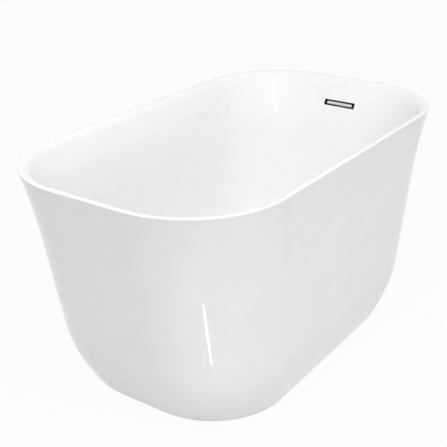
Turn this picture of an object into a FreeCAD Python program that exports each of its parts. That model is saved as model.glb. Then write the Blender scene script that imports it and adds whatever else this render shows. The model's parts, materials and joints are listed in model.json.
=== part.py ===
import FreeCAD, Part
import math
import os
import re

import Sketcher

# Freestanding bathtub in millimetres. X runs along the tub and points to the foot end,
# which has the overflow and the waste. Y runs across it, Z is up, and the floor is z = 0.
SIZES = {
    # Tub as a whole
    "tub_length": 1200,
    "tub_width": 680,
    "tub_height": 600,
    "rim_corner_radius": 243,
    "base_corner_radius": 204,
    "floor_gap": 2,
    # Outside: a flare under the rim, a leaning wall and a rounding down to the base
    "flare_depth": 180,
    "rounding_height": 168,
    "end_flare_lean": 17.1,
    "end_wall_lean": 11.9,
    "end_base_lean": 30.8,
    "side_flare_lean": 9,
    "side_wall_lean": 1.9,
    "side_base_lean": 27.4,
    "base_edge_radius": 12,
    "least_end_flat": 57,
    # Acrylic sheets, their glass fibre backing and the glued rim
    "sheet": 4.5,
    "backing": 2.5,
    "bond_gap": 0.3,
    "backing_drop": 45,
    "return_width": 30,
    "rim_thickness": 7,
    "rim_edge_radius": 2,
    "rim_roll_radius": 26,
    "rim_under_radius": 18,
    "seam_bond": 0.5,
    # Inside of the well
    "well_floor_height": 150,
    "well_bend_depth": 160,
    "end_rim_width": 20.5,
    "side_rim_width": 22,
    "end_well_top_lean": 36,
    "end_well_lean": 14,
    "side_well_top_lean": 24,
    "side_well_lean": 7,
    "well_floor_corner_radius": 180,
    "well_floor_radius": 100,
    # Board and steel frame under the floor of the well
    "board_thickness": 15,
    "board_side_gap": 25,
    "board_overhang": 20,
    "board_waste_gap": 65,
    "tube_size": 25,
    "tube_wall": 1.5,
    "rail_overhang": 25,
    "rail_side_gap": 101.58,
    "crossbar_head_gap": 80,
    "crossbar_foot_gap": 160,
    "cap_thickness": 3,
    "cap_depth": 12,
    "cap_play": 0.1,
    "board_screw_radius": 2.2,
    "board_screw_head_radius": 4.5,
    "board_screw_head_height": 3,
    "board_screw_bite": 10,
    "board_screw_inset": 55,
    # Feet
    "foot_end_gap": 125.86,
    "foot_pad_radius": 25,
    "foot_pad_height": 7,
    "foot_boss_radius": 10,
    "foot_boss_height": 18,
    "foot_socket_height": 6,
    "stud_radius": 6,
    "stud_reach": 15.3,
    "stud_play": 0.05,
    "stud_seat_play": 0.1,
    "stud_hex_radius": 10,
    "stud_hex_height": 9,
    "stud_hex_lift": 2,
    "stud_hole_radius": 7,
    "leg_nut_radius": 10.5,
    "leg_nut_height": 10,
    "lock_nut_height": 6,
    # Brackets that hold the foot of the skirt to the frame
    "bracket_thickness": 3,
    "bracket_width": 30,
    "bracket_gap": 160,
    "bracket_edge": 6.92,
    "rail_screw_radius": 2.4,
    "rail_screw_head_radius": 5,
    "rail_screw_head_height": 3.5,
    "rail_screw_length": 8,
    "flange_bolt_radius": 2.5,
    "flange_bolt_head_radius": 5,
    "flange_bolt_head_height": 2.5,
    "flange_bolt_inset": 21,
    "flange_bolt_stickout": 2,
    "flange_nut_radius": 4.6,
    "flange_nut_height": 4,
    "hole_play": 0.2,
    # Waste in the floor of the well
    "waste_end_gap": 162.59,
    "waste_hole_radius": 25,
    "waste_seal_thickness": 1.5,
    "waste_seal_radius": 33,
    "waste_flange_radius": 35,
    "waste_flange_height": 3,
    "waste_barrel_radius": 23.3,
    "waste_barrel_wall": 2.6,
    "waste_barrel_depth": 44,
    "waste_cross_width": 3,
    "waste_cross_height": 6,
    "waste_cross_depth": 12,
    "waste_boss_radius": 7,
    "waste_boss_bore": 5,
    "waste_play": 0.2,
    "tub_gasket_thickness": 3,
    "waste_body_flange_radius": 34,
    "waste_body_flange_height": 4,
    "waste_body_radius": 27,
    "waste_body_depth": 57.7,
    "branch_depth": 47.7,
    "branch_reach": 40,
    "branch_root_radius": 15,
    "spigot_radius": 24,
    "spigot_shoulder_depth": 61.7,
    "spigot_depth": 79.7,
    "tailpiece_radius": 20,
    "tailpiece_neck_radius": 19.6,
    "tailpiece_wall": 2,
    "tailpiece_depth": 63.7,
    "tailpiece_bottom": 14,
    "tail_shoulder_gap": 1,
    "tail_washer_thickness": 1.5,
    "tail_nut_radius": 29,
    "tail_nut_depth": 65.7,
    "tail_nut_lip": 2.5,
    # Click plug
    "plug_radius": 32,
    "plug_plate": 2.5,
    "plug_crown": 1.5,
    "plug_crown_share": 0.75,
    "plug_hub_radius": 7,
    "plug_hub_height": 4,
    "plug_seal_inner": 24,
    "plug_seal_outer": 29,
    "plug_seal_thickness": 1.5,
    "plug_seat_gap": 0.2,
    "stem_radius": 3,
    "stem_play": 0.08,
    "stem_length": 36,
    "cartridge_collar_radius": 6.8,
    "cartridge_collar_height": 3,
    "cartridge_depth": 22,
    "cartridge_play": 0.1,
    "spring_radius": 4.8,
    "spring_wire_radius": 0.5,
    "spring_end_gap": 0.3,
    # Overflow slot in the foot end's wall
    "overflow_drop": 69,
    "slot_width": 98.6,
    "slot_opening": 16.2,
    "slot_play": 0.4,
    "trim_wall": 1.2,
    "trim_lip": 0.8,
    "trim_lip_thickness": 0.8,
    "trim_seat_gap": 0.15,
    "trim_depth": 16,
    "strap_width": 10,
    "strap_thickness": 1.5,
    "blade_strap_offset": 24,
    "screw_strap_offset": 42,
    "blade_width": 83,
    "blade_height": 7.5,
    "blade_thickness": 5,
    "blade_recess": 0.5,
    "blade_post_radius": 2.5,
    "overflow_screw_radius": 1.5,
    "overflow_screw_head_radius": 2.8,
    "overflow_screw_head_height": 2,
    "overflow_gasket_thickness": 2,
    "overflow_seat_gap": 0.6,
    "box_width": 112,
    "box_opening": 28,
    "box_wall": 2,
    "box_rim": 5,
    "box_depth": 21,
    "box_boss_radius": 4,
    # Hose from the overflow box to the waste
    "hose_radius": 13,
    "hose_bore_radius": 10.8,
    "hose_play": 0.1,
    "elbow_out": 20,
    "elbow_drop": 5,
    "hose_aim_height": 226,
    "hose_bend_radius": 88,
    "spout_radius": 10.7,
    "spout_wall": 1.6,
    "spout_length": 22,
    "spout_collar_height": 5,
    "clip_thickness": 1.2,
    "clip_width": 9,
    "clip_screw_radius": 3.5,
    "clip_screw_length": 11,
    "overrun": 5,
}
FEET = {"head_left": (-1, 1), "head_right": (-1, -1), "foot_left": (1, 1), "foot_right": (1, -1)}

doc = FreeCAD.newDocument("Bathtub")
sizes = doc.addObject("Spreadsheet::Sheet", "Sizes")
for row, (alias, number) in enumerate(SIZES.items(), start=1):
    sizes.set("A%d" % row, alias.replace("_", " "))
    sizes.set("B%d" % row, str(number))
    sizes.setAlias("B%d" % row, alias)
nodes = []


# Expressions

def spell(text):
    """Expression with each size's and place's word led by its sheet's name."""
    return re.sub(r"[a-z]\w*", lambda word: sheet_word(word.group()), text)


def sheet_word(word):
    if word in SIZES:
        return "Sizes." + word
    return "Places." + word if word in PLACES else word


def value(text):
    """Number that an expression in the sheets' words gives now."""
    return float(sizes.evalExpression(spell(text)))


def bind(thing, prop, text):
    """Tie a property to an expression in the sheets' words."""
    thing.setExpression(prop, spell(text))


def put(thing, place):
    """Tie a thing's place to three expressions."""
    for axis, text in zip("xyz", place):
        bind(thing, "Placement.Base." + axis, text)


def tilt(thing, axis, angle):
    """Tie a thing's turn about an axis to an expression in degrees."""
    thing.Placement = FreeCAD.Placement(FreeCAD.Vector(), FreeCAD.Rotation(FreeCAD.Vector(*axis), 1))
    bind(thing, "Placement.Rotation.Angle", angle)


def bend(top, low, lean_top, lean_low, at):
    """Inset gained from top down to at, on an arc that leans lean_top at top and lean_low at low."""
    radius = f"(({top} - {low}) / (sin({lean_low} * 1 deg) - sin({lean_top} * 1 deg)))"
    sine = f"(sin({lean_top} * 1 deg) + ({top} - ({at})) / {radius})"
    return f"({radius} * (cos({lean_top} * 1 deg) - sqrt(1 - {sine} * {sine})))"


def skirt_inset(face, zone, at):
    """Inset of the outside from the rim's outline at a height in one of its three zones."""
    flare = ("tub_height", "flare_height", f"{face}_flare_lean", f"{face}_wall_lean")
    if zone == "flare":
        return bend(*flare, at)
    if zone == "wall":
        return f"({bend(*flare, 'flare_height')} + (flare_height - ({at})) * tan({face}_wall_lean * 1 deg))"
    rounding = ("rounding_height", "0", f"{face}_wall_lean", f"{face}_base_lean")
    return f"({skirt_inset(face, 'wall', 'rounding_height')} + {bend(*rounding, at)})"


def well_inset(face, zone, at):
    """Inset of the well's wall from the rim's outline at a height in one of its two zones."""
    rolled = ("tub_height", "well_bend_height", f"{face}_well_top_lean", f"{face}_well_lean")
    if zone == "bend":
        return f"({face}_rim_width + {bend(*rolled, at)})"
    return (f"({well_inset(face, 'bend', 'well_bend_height')}"
            f" + (well_bend_height - ({at})) * tan({face}_well_lean * 1 deg))")


def skirt_outline(zone, at, wall="0"):
    """Half length, half width, corner radius and height of the outside, a wall's thickness further in."""
    share = f"({skirt_inset('end', zone, at)} / {skirt_inset('end', 'rounding', '0')})"
    half_width = f"(tub_width / 2 - {skirt_inset('side', zone, at)})"
    free_corner = f"rim_corner_radius * (1 - {share}) + base_corner_radius * {share}"
    corner = f"(min({free_corner}; {half_width} - least_end_flat) - ({wall}))"
    return (f"tub_length / 2 - {skirt_inset('end', zone, at)} - ({wall})",
            f"{half_width} - ({wall})", corner, at)


def well_outline(zone, at, wall="0"):
    """Half length, half width, corner radius and height of the well, a wall's thickness further out."""
    depth = f"({well_inset('end', 'wall', 'well_floor_height')} - end_rim_width)"
    share = f"(({well_inset('end', zone, at)} - end_rim_width) / {depth})"
    half_width = f"(tub_width / 2 - {well_inset('side', zone, at)})"
    top_radius = "(rim_corner_radius - side_rim_width)"
    free_corner = f"{top_radius} * (1 - {share}) + well_floor_corner_radius * {share}"
    corner = f"(min({free_corner}; {half_width} - least_end_flat) + {wall})"
    return (f"tub_length / 2 - {well_inset('end', zone, at)} + {wall}",
            f"{half_width} + {wall}", corner, at)


def between(top, low, share):
    """Height a share of the way down from top to low."""
    return f"({top} - ({top} - ({low})) * {share})"


# Places that follow from the sizes
PLACES = {
    "flare_height": "tub_height - flare_depth",
    "well_bend_height": "tub_height - well_bend_depth",
    "overflow_height": "tub_height - overflow_drop",
    "base_half_length": f"tub_length / 2 - {skirt_inset('end', 'rounding', 'floor_gap')}",
    "base_half_width": f"tub_width / 2 - {skirt_inset('side', 'rounding', 'floor_gap')}",
    "floor_half_length": f"tub_length / 2 - {well_inset('end', 'wall', 'well_floor_height')}",
    "board_top": "well_floor_height - sheet - bond_gap - backing",
    "frame_top": "board_top - board_thickness",
    "frame_bottom": "frame_top - tube_size",
    "foot_offset": "base_half_length - foot_end_gap",
    "rail_offset": "base_half_width - rail_side_gap",
    "rail_length": "2 * (foot_offset + rail_overhang)",
    "crossbar_head": "foot_offset - crossbar_head_gap",
    "crossbar_foot": "foot_offset - crossbar_foot_gap",
    "waste_offset": "floor_half_length - waste_end_gap",
    "board_head": "foot_offset + board_overhang",
    "board_foot": "waste_offset - board_waste_gap",
    "board_width": "2 * (rail_offset - board_side_gap)",
    "board_screw_offset": "board_width / 2 - board_screw_inset",
    "stud_top": "frame_bottom + stud_reach",
    "bracket_offset": "foot_offset - bracket_gap",
    "bolt_line": "base_half_width - flange_bolt_inset",
    "bracket_foot": "bolt_line + bracket_edge",
    "waste_top": "board_top - tub_gasket_thickness",
    "waste_body_floor": "waste_top - waste_body_depth",
    "branch_height": "waste_top - branch_depth",
    "spigot_top": "waste_top - spigot_shoulder_depth",
    "spigot_bottom": "waste_top - spigot_depth",
    "tailpiece_top": "waste_top - tailpiece_depth",
    "tail_nut_top": "waste_top - tail_nut_depth",
}
places = doc.addObject("Spreadsheet::Sheet", "Places")
for row, (alias, rule) in enumerate(PLACES.items(), start=1):
    places.set("A%d" % row, alias.replace("_", " "))
    places.set("B%d" % row, "=" + spell(rule))
    places.setAlias("B%d" % row, alias)
doc.recompute()


# Sketches and features

def new_body(name):
    return doc.addObject("PartDesign::Body", name)


def new_sketch(body, name, role, height=None):
    """Sketch on one of the body's own planes, lifted to a height."""
    sketch = body.newObject("Sketcher::SketchObject", name)
    plane = next(feature for feature in body.Origin.OriginFeatures if feature.Role == role)
    sketch.AttachmentSupport = [(plane, "")]
    sketch.MapMode = "FlatFace"
    if height is not None:
        bind(sketch, "AttachmentOffset.Base.z", height)
    return sketch


def tie(sketch, kind, places, text):
    """Add a sized constraint and bind its size."""
    index = sketch.addConstraint(Sketcher.Constraint(kind, *places, value(text)))
    bind(sketch, "Constraints[%d]" % index, text)


def rounded_sketch(body, name, outlines, height):
    """Rounded rectangles about the centre, each given by half length, half width and corner radius."""
    sketch = new_sketch(body, name, "XY_Plane", height)
    for half_length, half_width, radius in outlines:
        a, b, r = value(half_length), value(half_width), value(radius)
        first = sketch.GeometryCount
        centres = [(a - r, b - r), (r - a, b - r), (r - a, r - b), (a - r, r - b)]
        ends = [((a, r - b), (a, b - r)), ((a - r, b), (r - a, b)),
                ((-a, b - r), (-a, r - b)), ((r - a, -b), (a - r, -b))]
        for quarter, ((start, stop), centre) in enumerate(zip(ends, centres)):
            sketch.addGeometry(Part.LineSegment(FreeCAD.Vector(*start), FreeCAD.Vector(*stop)), False)
            circle = Part.Circle(FreeCAD.Vector(*centre), FreeCAD.Vector(0, 0, 1), r)
            arc = Part.ArcOfCircle(circle, quarter * math.pi / 2, (quarter + 1) * math.pi / 2)
            sketch.addGeometry(arc, False)
        lines = [first + 2 * i for i in range(4)]
        arcs = [line + 1 for line in lines]
        for i in range(4):
            sketch.addConstraint(Sketcher.Constraint("Tangent", lines[i], 2, arcs[i], 1))
            sketch.addConstraint(Sketcher.Constraint("Tangent", arcs[i], 2, lines[(i + 1) % 4], 1))
        for i in (0, 2):
            sketch.addConstraint(Sketcher.Constraint("Vertical", lines[i]))
            sketch.addConstraint(Sketcher.Constraint("Horizontal", lines[i + 1]))
        for arc in arcs[1:]:
            sketch.addConstraint(Sketcher.Constraint("Equal", arcs[0], arc))
        tie(sketch, "Radius", (arcs[0],), radius)
        tie(sketch, "DistanceX", (-1, 1, lines[0], 1), half_length)
        tie(sketch, "DistanceX", (lines[2], 1, -1, 1), half_length)
        tie(sketch, "DistanceY", (-1, 1, lines[1], 1), half_width)
        tie(sketch, "DistanceY", (lines[3], 1, -1, 1), half_width)
    return sketch


def polygon_sketch(body, name, role, points, height=None):
    """Closed outline through points that are given as pairs of expressions."""
    sketch = new_sketch(body, name, role, height)
    corners = [FreeCAD.Vector(value(across), value(up), 0) for across, up in points]
    for start, stop in zip(corners, corners[1:] + corners[:1]):
        sketch.addGeometry(Part.LineSegment(start, stop), False)
    for i, (across, up) in enumerate(points):
        following = (i + 1) % len(points)
        sketch.addConstraint(Sketcher.Constraint("Coincident", i, 2, following, 1))
        for kind, axis, text in (("DistanceX", -2, across), ("DistanceY", -1, up)):
            if text == "0":
                sketch.addConstraint(Sketcher.Constraint("PointOnObject", i, 1, axis))
            else:
                tie(sketch, kind, (-1, 1, i, 1), text)
    return sketch


def circle_sketch(body, name, circles, height=None):
    """Circles on a level plane, each given by its centre and radius."""
    sketch = new_sketch(body, name, "XY_Plane", height)
    for across, along, radius in circles:
        centre = FreeCAD.Vector(value(across), value(along), 0)
        index = sketch.addGeometry(Part.Circle(centre, FreeCAD.Vector(0, 0, 1), value(radius)), False)
        tie(sketch, "Radius", (index,), radius)
        for kind, axis, text in (("DistanceX", -2, across), ("DistanceY", -1, along)):
            if text == "0":
                sketch.addConstraint(Sketcher.Constraint("PointOnObject", index, 3, axis))
            else:
                tie(sketch, kind, (-1, 1, index, 3), text)
    return sketch


def loft(body, name, kind, outlines, ruled=False):
    """Loft through rounded rectangles at their heights."""
    sketches = [rounded_sketch(body, "%s_section_%d" % (name, i), [outline[:3]], outline[3])
                for i, outline in enumerate(outlines, start=1)]
    feature = body.newObject("PartDesign::%sLoft" % kind, name)
    feature.Profile = sketches[0]
    feature.Sections = sketches[1:]
    feature.Ruled = ruled
    doc.recompute()
    return feature


def pocket(body, name, sketch, length, upward=True):
    """Pocket from a sketch, on both sides of it where upward is None."""
    feature = body.newObject("PartDesign::Pocket", name)
    feature.Profile = sketch
    if upward is None:
        feature.SideType = "Symmetric"
    else:
        feature.Reversed = upward
    bind(feature, "Length", length)
    doc.recompute()
    return feature


def round_edges(body, name, height, radius, width_over="0", width_under="tub_width"):
    """Fillet on the level edges at a height whose crossing of the centre plane is within two widths."""
    base = body.Tip
    level, least, most = value(height), value(width_over) / 2, value(width_under) / 2
    ring = [(edge, "Edge%d" % i) for i, edge in enumerate(base.Shape.Edges, start=1)
            if max(abs(edge.BoundBox.ZMin - level), abs(edge.BoundBox.ZMax - level)) < value("bond_gap") / 2]
    names = [name_ for edge, name_ in ring if least < ring_half_width(edge) < most]
    feature = body.newObject("PartDesign::Fillet", name)
    feature.Base = (base, names)
    bind(feature, "Radius", radius)
    doc.recompute()
    return feature


def ring_half_width(edge):
    """Half width of the ring that an edge belongs to, from how far it lies inside the rim."""
    box = edge.BoundBox
    along = value("tub_length") / 2 - max(abs(box.XMin), abs(box.XMax))
    across = value("tub_width") / 2 - max(abs(box.YMin), abs(box.YMax))
    return value("tub_width") / 2 - min(along, across)


def finish(thing, name):
    """Name a finished piece and list it for export."""
    thing.Label = name
    nodes.append(thing)
    return thing


def turned(name, outline, place=None):
    """Piece turned about an upright axis from its outline of radius and height."""
    body = new_body(name)
    sketch = polygon_sketch(body, name + "_profile", "XZ_Plane", outline)
    feature = body.newObject("PartDesign::Revolution", name + "_turned")
    feature.Profile = sketch
    feature.ReferenceAxis = (sketch, ["V_Axis"])
    feature.Angle = 360
    if place:
        put(body, place)
    return body


def primitive(kind, name, properties, place=None):
    thing = doc.addObject("Part::" + kind, name)
    for prop, text in properties.items():
        bind(thing, prop, text)
    if place:
        put(thing, place)
    return thing


def block(name, length, width, height, centre_x, centre_y, bottom):
    """Upright block, centred in plan."""
    place = (f"{centre_x} - ({length}) / 2", f"{centre_y} - ({width}) / 2", bottom)
    return primitive("Box", name, {"Length": length, "Width": width, "Height": height}, place)


def rod(name, radius, length, place):
    return primitive("Cylinder", name, {"Radius": radius, "Height": length}, place)


def cut(name, base, tools):
    """Base with its tools cut away."""
    for i, tool in enumerate(tools, start=1):
        last = i == len(tools)
        feature = doc.addObject("Part::Cut", name if last else "%s_cut_%d" % (name, i))
        feature.Base = base
        feature.Tool = tool
        base = feature
    return base


def fuse(name, shapes):
    feature = doc.addObject("Part::MultiFuse", name)
    feature.Shapes = shapes
    return feature


def group(name, pieces):
    feature = doc.addObject("Part::Compound", name)
    feature.Links = pieces
    return feature


# Skirt, the outer shell

RIM_UNDERSIDE = "tub_height - rim_thickness"
SKIRT_TOP = f"({RIM_UNDERSIDE} - seam_bond)"
RETURN_TOP = "(floor_gap + sheet)"
BACKING_TOP = "(tub_height - backing_drop)"
SKIRT_BACKING_FLOOR = f"({RETURN_TOP} + bond_gap)"
BRACKET_FLOOR = f"({SKIRT_BACKING_FLOOR} + backing)"
THIRD_SHARES = (0.33, 0.67, 1)
HALF_SHARES = (0, 0.5, 1)
BOLT_PLACES = [(along, across) for along in (-1, 1) for across in (-1, 1)]


def skirt_sections(top, bottom, wall):
    """Outlines of the outside from top to bottom, a wall's thickness further in."""
    zones = [("flare", top, "flare_height", HALF_SHARES),
             ("wall", "flare_height", "rounding_height", THIRD_SHARES),
             ("rounding", "rounding_height", bottom, THIRD_SHARES)]
    return [skirt_outline(zone, between(high, low, share), wall)
            for zone, high, low, shares in zones for share in shares]


def open_base(body, bottom, thickness):
    """Opening in the inward return at the foot of a shell, and the holes for its bolts."""
    half_length, half_width, radius, _ = skirt_outline("rounding", "floor_gap", "return_width")
    opening = rounded_sketch(body, body.Name + "_opening", [(half_length, half_width, radius)], bottom)
    pocket(body, body.Name + "_open_base", opening, f"{thickness} + overrun")
    holes = circle_sketch(body, body.Name + "_bolt_circles",
                          [(f"{x} * bracket_offset", f"{y} * bolt_line", "flange_bolt_radius + hole_play")
                           for x, y in BOLT_PLACES], bottom)
    pocket(body, body.Name + "_bolt_holes", holes, f"{thickness} + overrun")


def make_skirt():
    body = new_body("skirt")
    loft(body, "skirt_outside", "Additive", skirt_sections(SKIRT_TOP, "floor_gap", "0"))
    round_edges(body, "skirt_base_edge", "floor_gap", "base_edge_radius")
    loft(body, "skirt_inside", "Subtractive", skirt_sections(f"({SKIRT_TOP} + overrun)", RETURN_TOP, "sheet"))
    open_base(body, "floor_gap", "sheet")
    for i, (x, y) in enumerate(BOLT_PLACES, start=1):
        sink = body.newObject("PartDesign::SubtractiveCone", "skirt_bolt_sink_%d" % i)
        bind(sink, "Radius1", "flange_bolt_head_radius + hole_play")
        bind(sink, "Radius2", "flange_bolt_radius + hole_play")
        bind(sink, "Height", "flange_bolt_head_height")
        put(sink, (f"{x} * bracket_offset", f"{y} * bolt_line", "floor_gap"))
    return finish(body, "skirt")


def make_skirt_backing():
    body = new_body("skirt_backing")
    loft(body, "skirt_backing_outside", "Additive",
         skirt_sections(BACKING_TOP, SKIRT_BACKING_FLOOR, "sheet + bond_gap"))
    loft(body, "skirt_backing_inside", "Subtractive",
         skirt_sections(f"({BACKING_TOP} + overrun)", BRACKET_FLOOR, "sheet + bond_gap + backing"))
    open_base(body, SKIRT_BACKING_FLOOR, "backing")
    return finish(body, "skirt_backing")


def make_rim_bond():
    body = new_body("rim_bond")
    rings = [skirt_outline("flare", SKIRT_TOP, wall)[:3] for wall in ("0", "sheet")]
    pad = body.newObject("PartDesign::Pad", "rim_bond_pad")
    pad.Profile = rounded_sketch(body, "rim_bond_rings", rings, SKIRT_TOP)
    bind(pad, "Length", "seam_bond")
    return finish(body, "rim_bond")


# Basin, the inner shell

BASIN_BOTTOM = "(well_floor_height - sheet)"
BACKING_INSIDE = "(sheet + bond_gap)"
BACKING_OUTSIDE = "(sheet + bond_gap + backing)"
BEND_RADIUS = ("((tub_height - well_bend_height)"
               " / (sin(end_well_lean * 1 deg) - sin(end_well_top_lean * 1 deg)))")
SLOT_LEAN = f"(asin(sin(end_well_top_lean * 1 deg) + (tub_height - overflow_height) / {BEND_RADIUS}) / 1 deg)"
SLOT_X = f"(tub_length / 2 - {well_inset('end', 'bend', 'overflow_height')})"


def on_slot(out, up):
    """Plan and height of a point given outwards from the slot and up along the wall."""
    lean = f"({SLOT_LEAN} * 1 deg)"
    return (f"{SLOT_X} + ({out}) * cos{lean} + ({up}) * sin{lean}",
            f"overflow_height - ({out}) * sin{lean} + ({up}) * cos{lean}")


def well_sections(top, bottom, wall):
    """Outlines of the well from top to bottom, a wall's thickness further out."""
    zones = [("bend", top, "well_bend_height", (0,) + THIRD_SHARES),
             ("wall", "well_bend_height", bottom, THIRD_SHARES)]
    return [well_outline(zone, between(high, low, share), wall)
            for zone, high, low, shares in zones for share in shares]


def open_well(body, bottom):
    """Holes for the waste and the overflow slot."""
    circle = ("waste_offset", "0", "waste_hole_radius")
    drain = circle_sketch(body, body.Name + "_drain_circle", [circle], bottom)
    pocket(body, body.Name + "_drain_hole", drain, f"well_floor_height - {bottom} + overrun")
    half = "(slot_opening / 2 + slot_play)"
    reach = f"({BACKING_OUTSIDE} + overrun)"
    corners = [on_slot(out, up) for out, up in (("0 - overrun", f"0 - {half}"), (reach, f"0 - {half}"),
                                                (reach, half), ("0 - overrun", half))]
    slot = polygon_sketch(body, body.Name + "_slot_outline", "XZ_Plane", corners)
    pocket(body, body.Name + "_slot", slot, "slot_width + 2 * slot_play", upward=None)


def make_basin():
    body = new_body("basin")
    loft(body, "basin_outside", "Additive",
         well_sections(f"({RIM_UNDERSIDE} + rim_thickness / 2)", BASIN_BOTTOM, "sheet"))
    loft(body, "basin_rim", "Additive",
         [skirt_outline("flare", height) for height in ("tub_height", f"({RIM_UNDERSIDE})")], ruled=True)
    round_edges(body, "basin_under_roll", RIM_UNDERSIDE, "rim_under_radius",
                width_under="tub_width - side_rim_width")
    loft(body, "basin_well", "Subtractive", well_sections("(tub_height + overrun)", "well_floor_height", "0"))
    round_edges(body, "basin_roll", "tub_height", "rim_roll_radius", width_under="tub_width - side_rim_width")
    round_edges(body, "basin_rim_edge", "tub_height", "rim_edge_radius",
                width_over="tub_width - side_rim_width / 2", width_under="tub_width + overrun")
    round_edges(body, "basin_floor_edge", "well_floor_height", "well_floor_radius")
    round_edges(body, "basin_under_floor", BASIN_BOTTOM, "well_floor_radius + sheet")
    open_well(body, BASIN_BOTTOM)
    return finish(body, "basin")


def make_basin_backing():
    body = new_body("basin_backing")
    loft(body, "basin_backing_outside", "Additive", well_sections(BACKING_TOP, "board_top", BACKING_OUTSIDE))
    floor = f"(well_floor_height - {BACKING_INSIDE})"
    loft(body, "basin_backing_inside", "Subtractive",
         well_sections(f"({BACKING_TOP} + overrun)", floor, BACKING_INSIDE))
    round_edges(body, "basin_backing_over", floor, f"well_floor_radius + {BACKING_INSIDE}")
    round_edges(body, "basin_backing_under", "board_top", f"well_floor_radius + {BACKING_OUTSIDE}")
    open_well(body, "board_top")
    return finish(body, "basin_backing")


# Board and steel frame

FRAME_MIDDLE = "(frame_top - tube_size / 2)"
RAIL_FACE = "(rail_offset + tube_size / 2)"
RAIL_REACH = "(rail_length / 2)"
CROSSBARS = {"crossbar_head": "0 - crossbar_head", "crossbar_foot": "crossbar_foot"}
SCREW_PLACES = [(across, side) for across in CROSSBARS.values() for side in (-1, 1)]


def make_board():
    blank = block("board_blank", "board_head + board_foot", "board_width", "board_thickness",
                  "(board_foot - board_head) / 2", "0", "frame_top")
    holes = [rod("board_hole_%d" % i, "board_screw_radius + hole_play", "board_screw_bite + 2 * overrun",
                 (x, f"{side} * board_screw_offset", "frame_top - 2 * overrun"))
             for i, (x, side) in enumerate(SCREW_PLACES, start=1)]
    return finish(cut("base_board", blank, holes), "base_board")


def hollow_tube(name, length, width, hollow_length, hollow_width, x, y):
    """Steel tube that lies along X or Y under the board."""
    outside = block(name + "_outside", length, width, "tube_size", x, y, "frame_bottom")
    inside = block(name + "_inside", hollow_length, hollow_width, "tube_size - 2 * tube_wall", x, y,
                   "frame_bottom + tube_wall")
    return outside, inside


def make_rail(name, side):
    outside, inside = hollow_tube(name, "rail_length", "tube_size", "rail_length + 2 * overrun",
                                  "tube_size - 2 * tube_wall", "0", f"{side} * rail_offset")
    tools = [inside]
    for end in (-1, 1):
        tools.append(rod("%s_stud_hole_%d" % (name, end + 2), "stud_hole_radius", "tube_wall + 2 * overrun",
                         (f"{end} * foot_offset", f"{side} * rail_offset", "frame_bottom - overrun")))
        hole = rod("%s_screw_hole_%d" % (name, end + 2), "rail_screw_radius + hole_play",
                   "tube_wall + 2 * overrun",
                   (f"{end} * bracket_offset", f"{side} * ({RAIL_FACE} + overrun)", FRAME_MIDDLE))
        tools.append(lay_across(hole, side))
    return finish(cut(name, outside, tools), name)


def lay_across(thing, side):
    """Turn an upright piece so that its top points across the tub, inwards from one side."""
    base = thing.Placement.Base
    thing.Placement = FreeCAD.Placement(base, FreeCAD.Rotation(FreeCAD.Vector(1, 0, 0), 90 * side))
    return thing


def make_crossbar(name, x):
    outside, inside = hollow_tube(name, "tube_size", "2 * rail_offset - tube_size",
                                  "tube_size - 2 * tube_wall", "2 * rail_offset + tube_size", x, "0")
    holes = [rod("%s_hole_%d" % (name, side + 2), "board_screw_radius + hole_play", "tube_size + 2 * overrun",
                 (x, f"{side} * board_screw_offset", "frame_bottom - overrun")) for side in (-1, 1)]
    return finish(cut(name, outside, [inside] + holes), name)


def screw(name, shank_radius, shank_length, head_radius, head_height, place):
    """Screw with its shank upwards from its place and its head below."""
    outline = [("0", f"0 - {head_height}"), (head_radius, f"0 - {head_height}"), (head_radius, "0"),
               (shank_radius, "0"), (shank_radius, shank_length), ("0", shank_length)]
    return turned(name, outline, place)


def make_board_screws():
    pieces = [screw("board_screw_%d" % i, "board_screw_radius", "tube_size + board_screw_bite",
                    "board_screw_head_radius", "board_screw_head_height",
                    (x, f"{side} * board_screw_offset", "frame_bottom"))
              for i, (x, side) in enumerate(SCREW_PLACES, start=1)]
    return finish(group("board_screws", pieces), "board_screws")


def make_rail_caps():
    pieces = []
    for name, (end, side) in FEET.items():
        plate = block("cap_plate_" + name, "cap_thickness", "tube_size", "tube_size",
                      f"{end} * ({RAIL_REACH} + cap_thickness / 2)", f"{side} * rail_offset", "frame_bottom")
        plug = "(tube_size - 2 * tube_wall - 2 * cap_play)"
        stub = block("cap_stub_" + name, "cap_depth", plug, plug, f"{end} * ({RAIL_REACH} - cap_depth / 2)",
                     f"{side} * rail_offset", f"frame_bottom + tube_wall + cap_play")
        pieces.append(fuse("rail_cap_" + name, [plate, stub]))
    return finish(group("rail_caps", pieces), "rail_caps")


# Feet

STUD_BOTTOM = "(foot_socket_height + stud_seat_play)"
HEX_BOTTOM = "(foot_boss_height + stud_hex_lift)"


def hex_prism(name, radius, height, place):
    prism = primitive("Prism", name, {"Circumradius": radius, "Height": height}, place)
    prism.Polygon = 6
    return prism


def make_foot(name, end, side):
    """Pad and threaded stud of one foot."""
    x, y = f"{end} * foot_offset", f"{side} * rail_offset"
    socket = "(stud_radius + stud_seat_play)"
    pad = turned("pad_" + name, [("0", "0"), ("foot_pad_radius", "0"), ("foot_pad_radius", "foot_pad_height"),
                                 ("foot_boss_radius", "foot_pad_height + stud_hex_lift"),
                                 ("foot_boss_radius", "foot_boss_height"), (socket, "foot_boss_height"),
                                 (socket, "foot_socket_height"), ("0", "foot_socket_height")], (x, y, "0"))
    finish(pad, "pad_" + name)
    shank = rod("stud_shank_" + name, "stud_radius", f"stud_top - {STUD_BOTTOM}", (x, y, STUD_BOTTOM))
    collar = hex_prism("stud_hex_" + name, "stud_hex_radius", "stud_hex_height", (x, y, HEX_BOTTOM))
    finish(fuse("stud_" + name, [shank, collar]), "stud_" + name)


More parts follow.
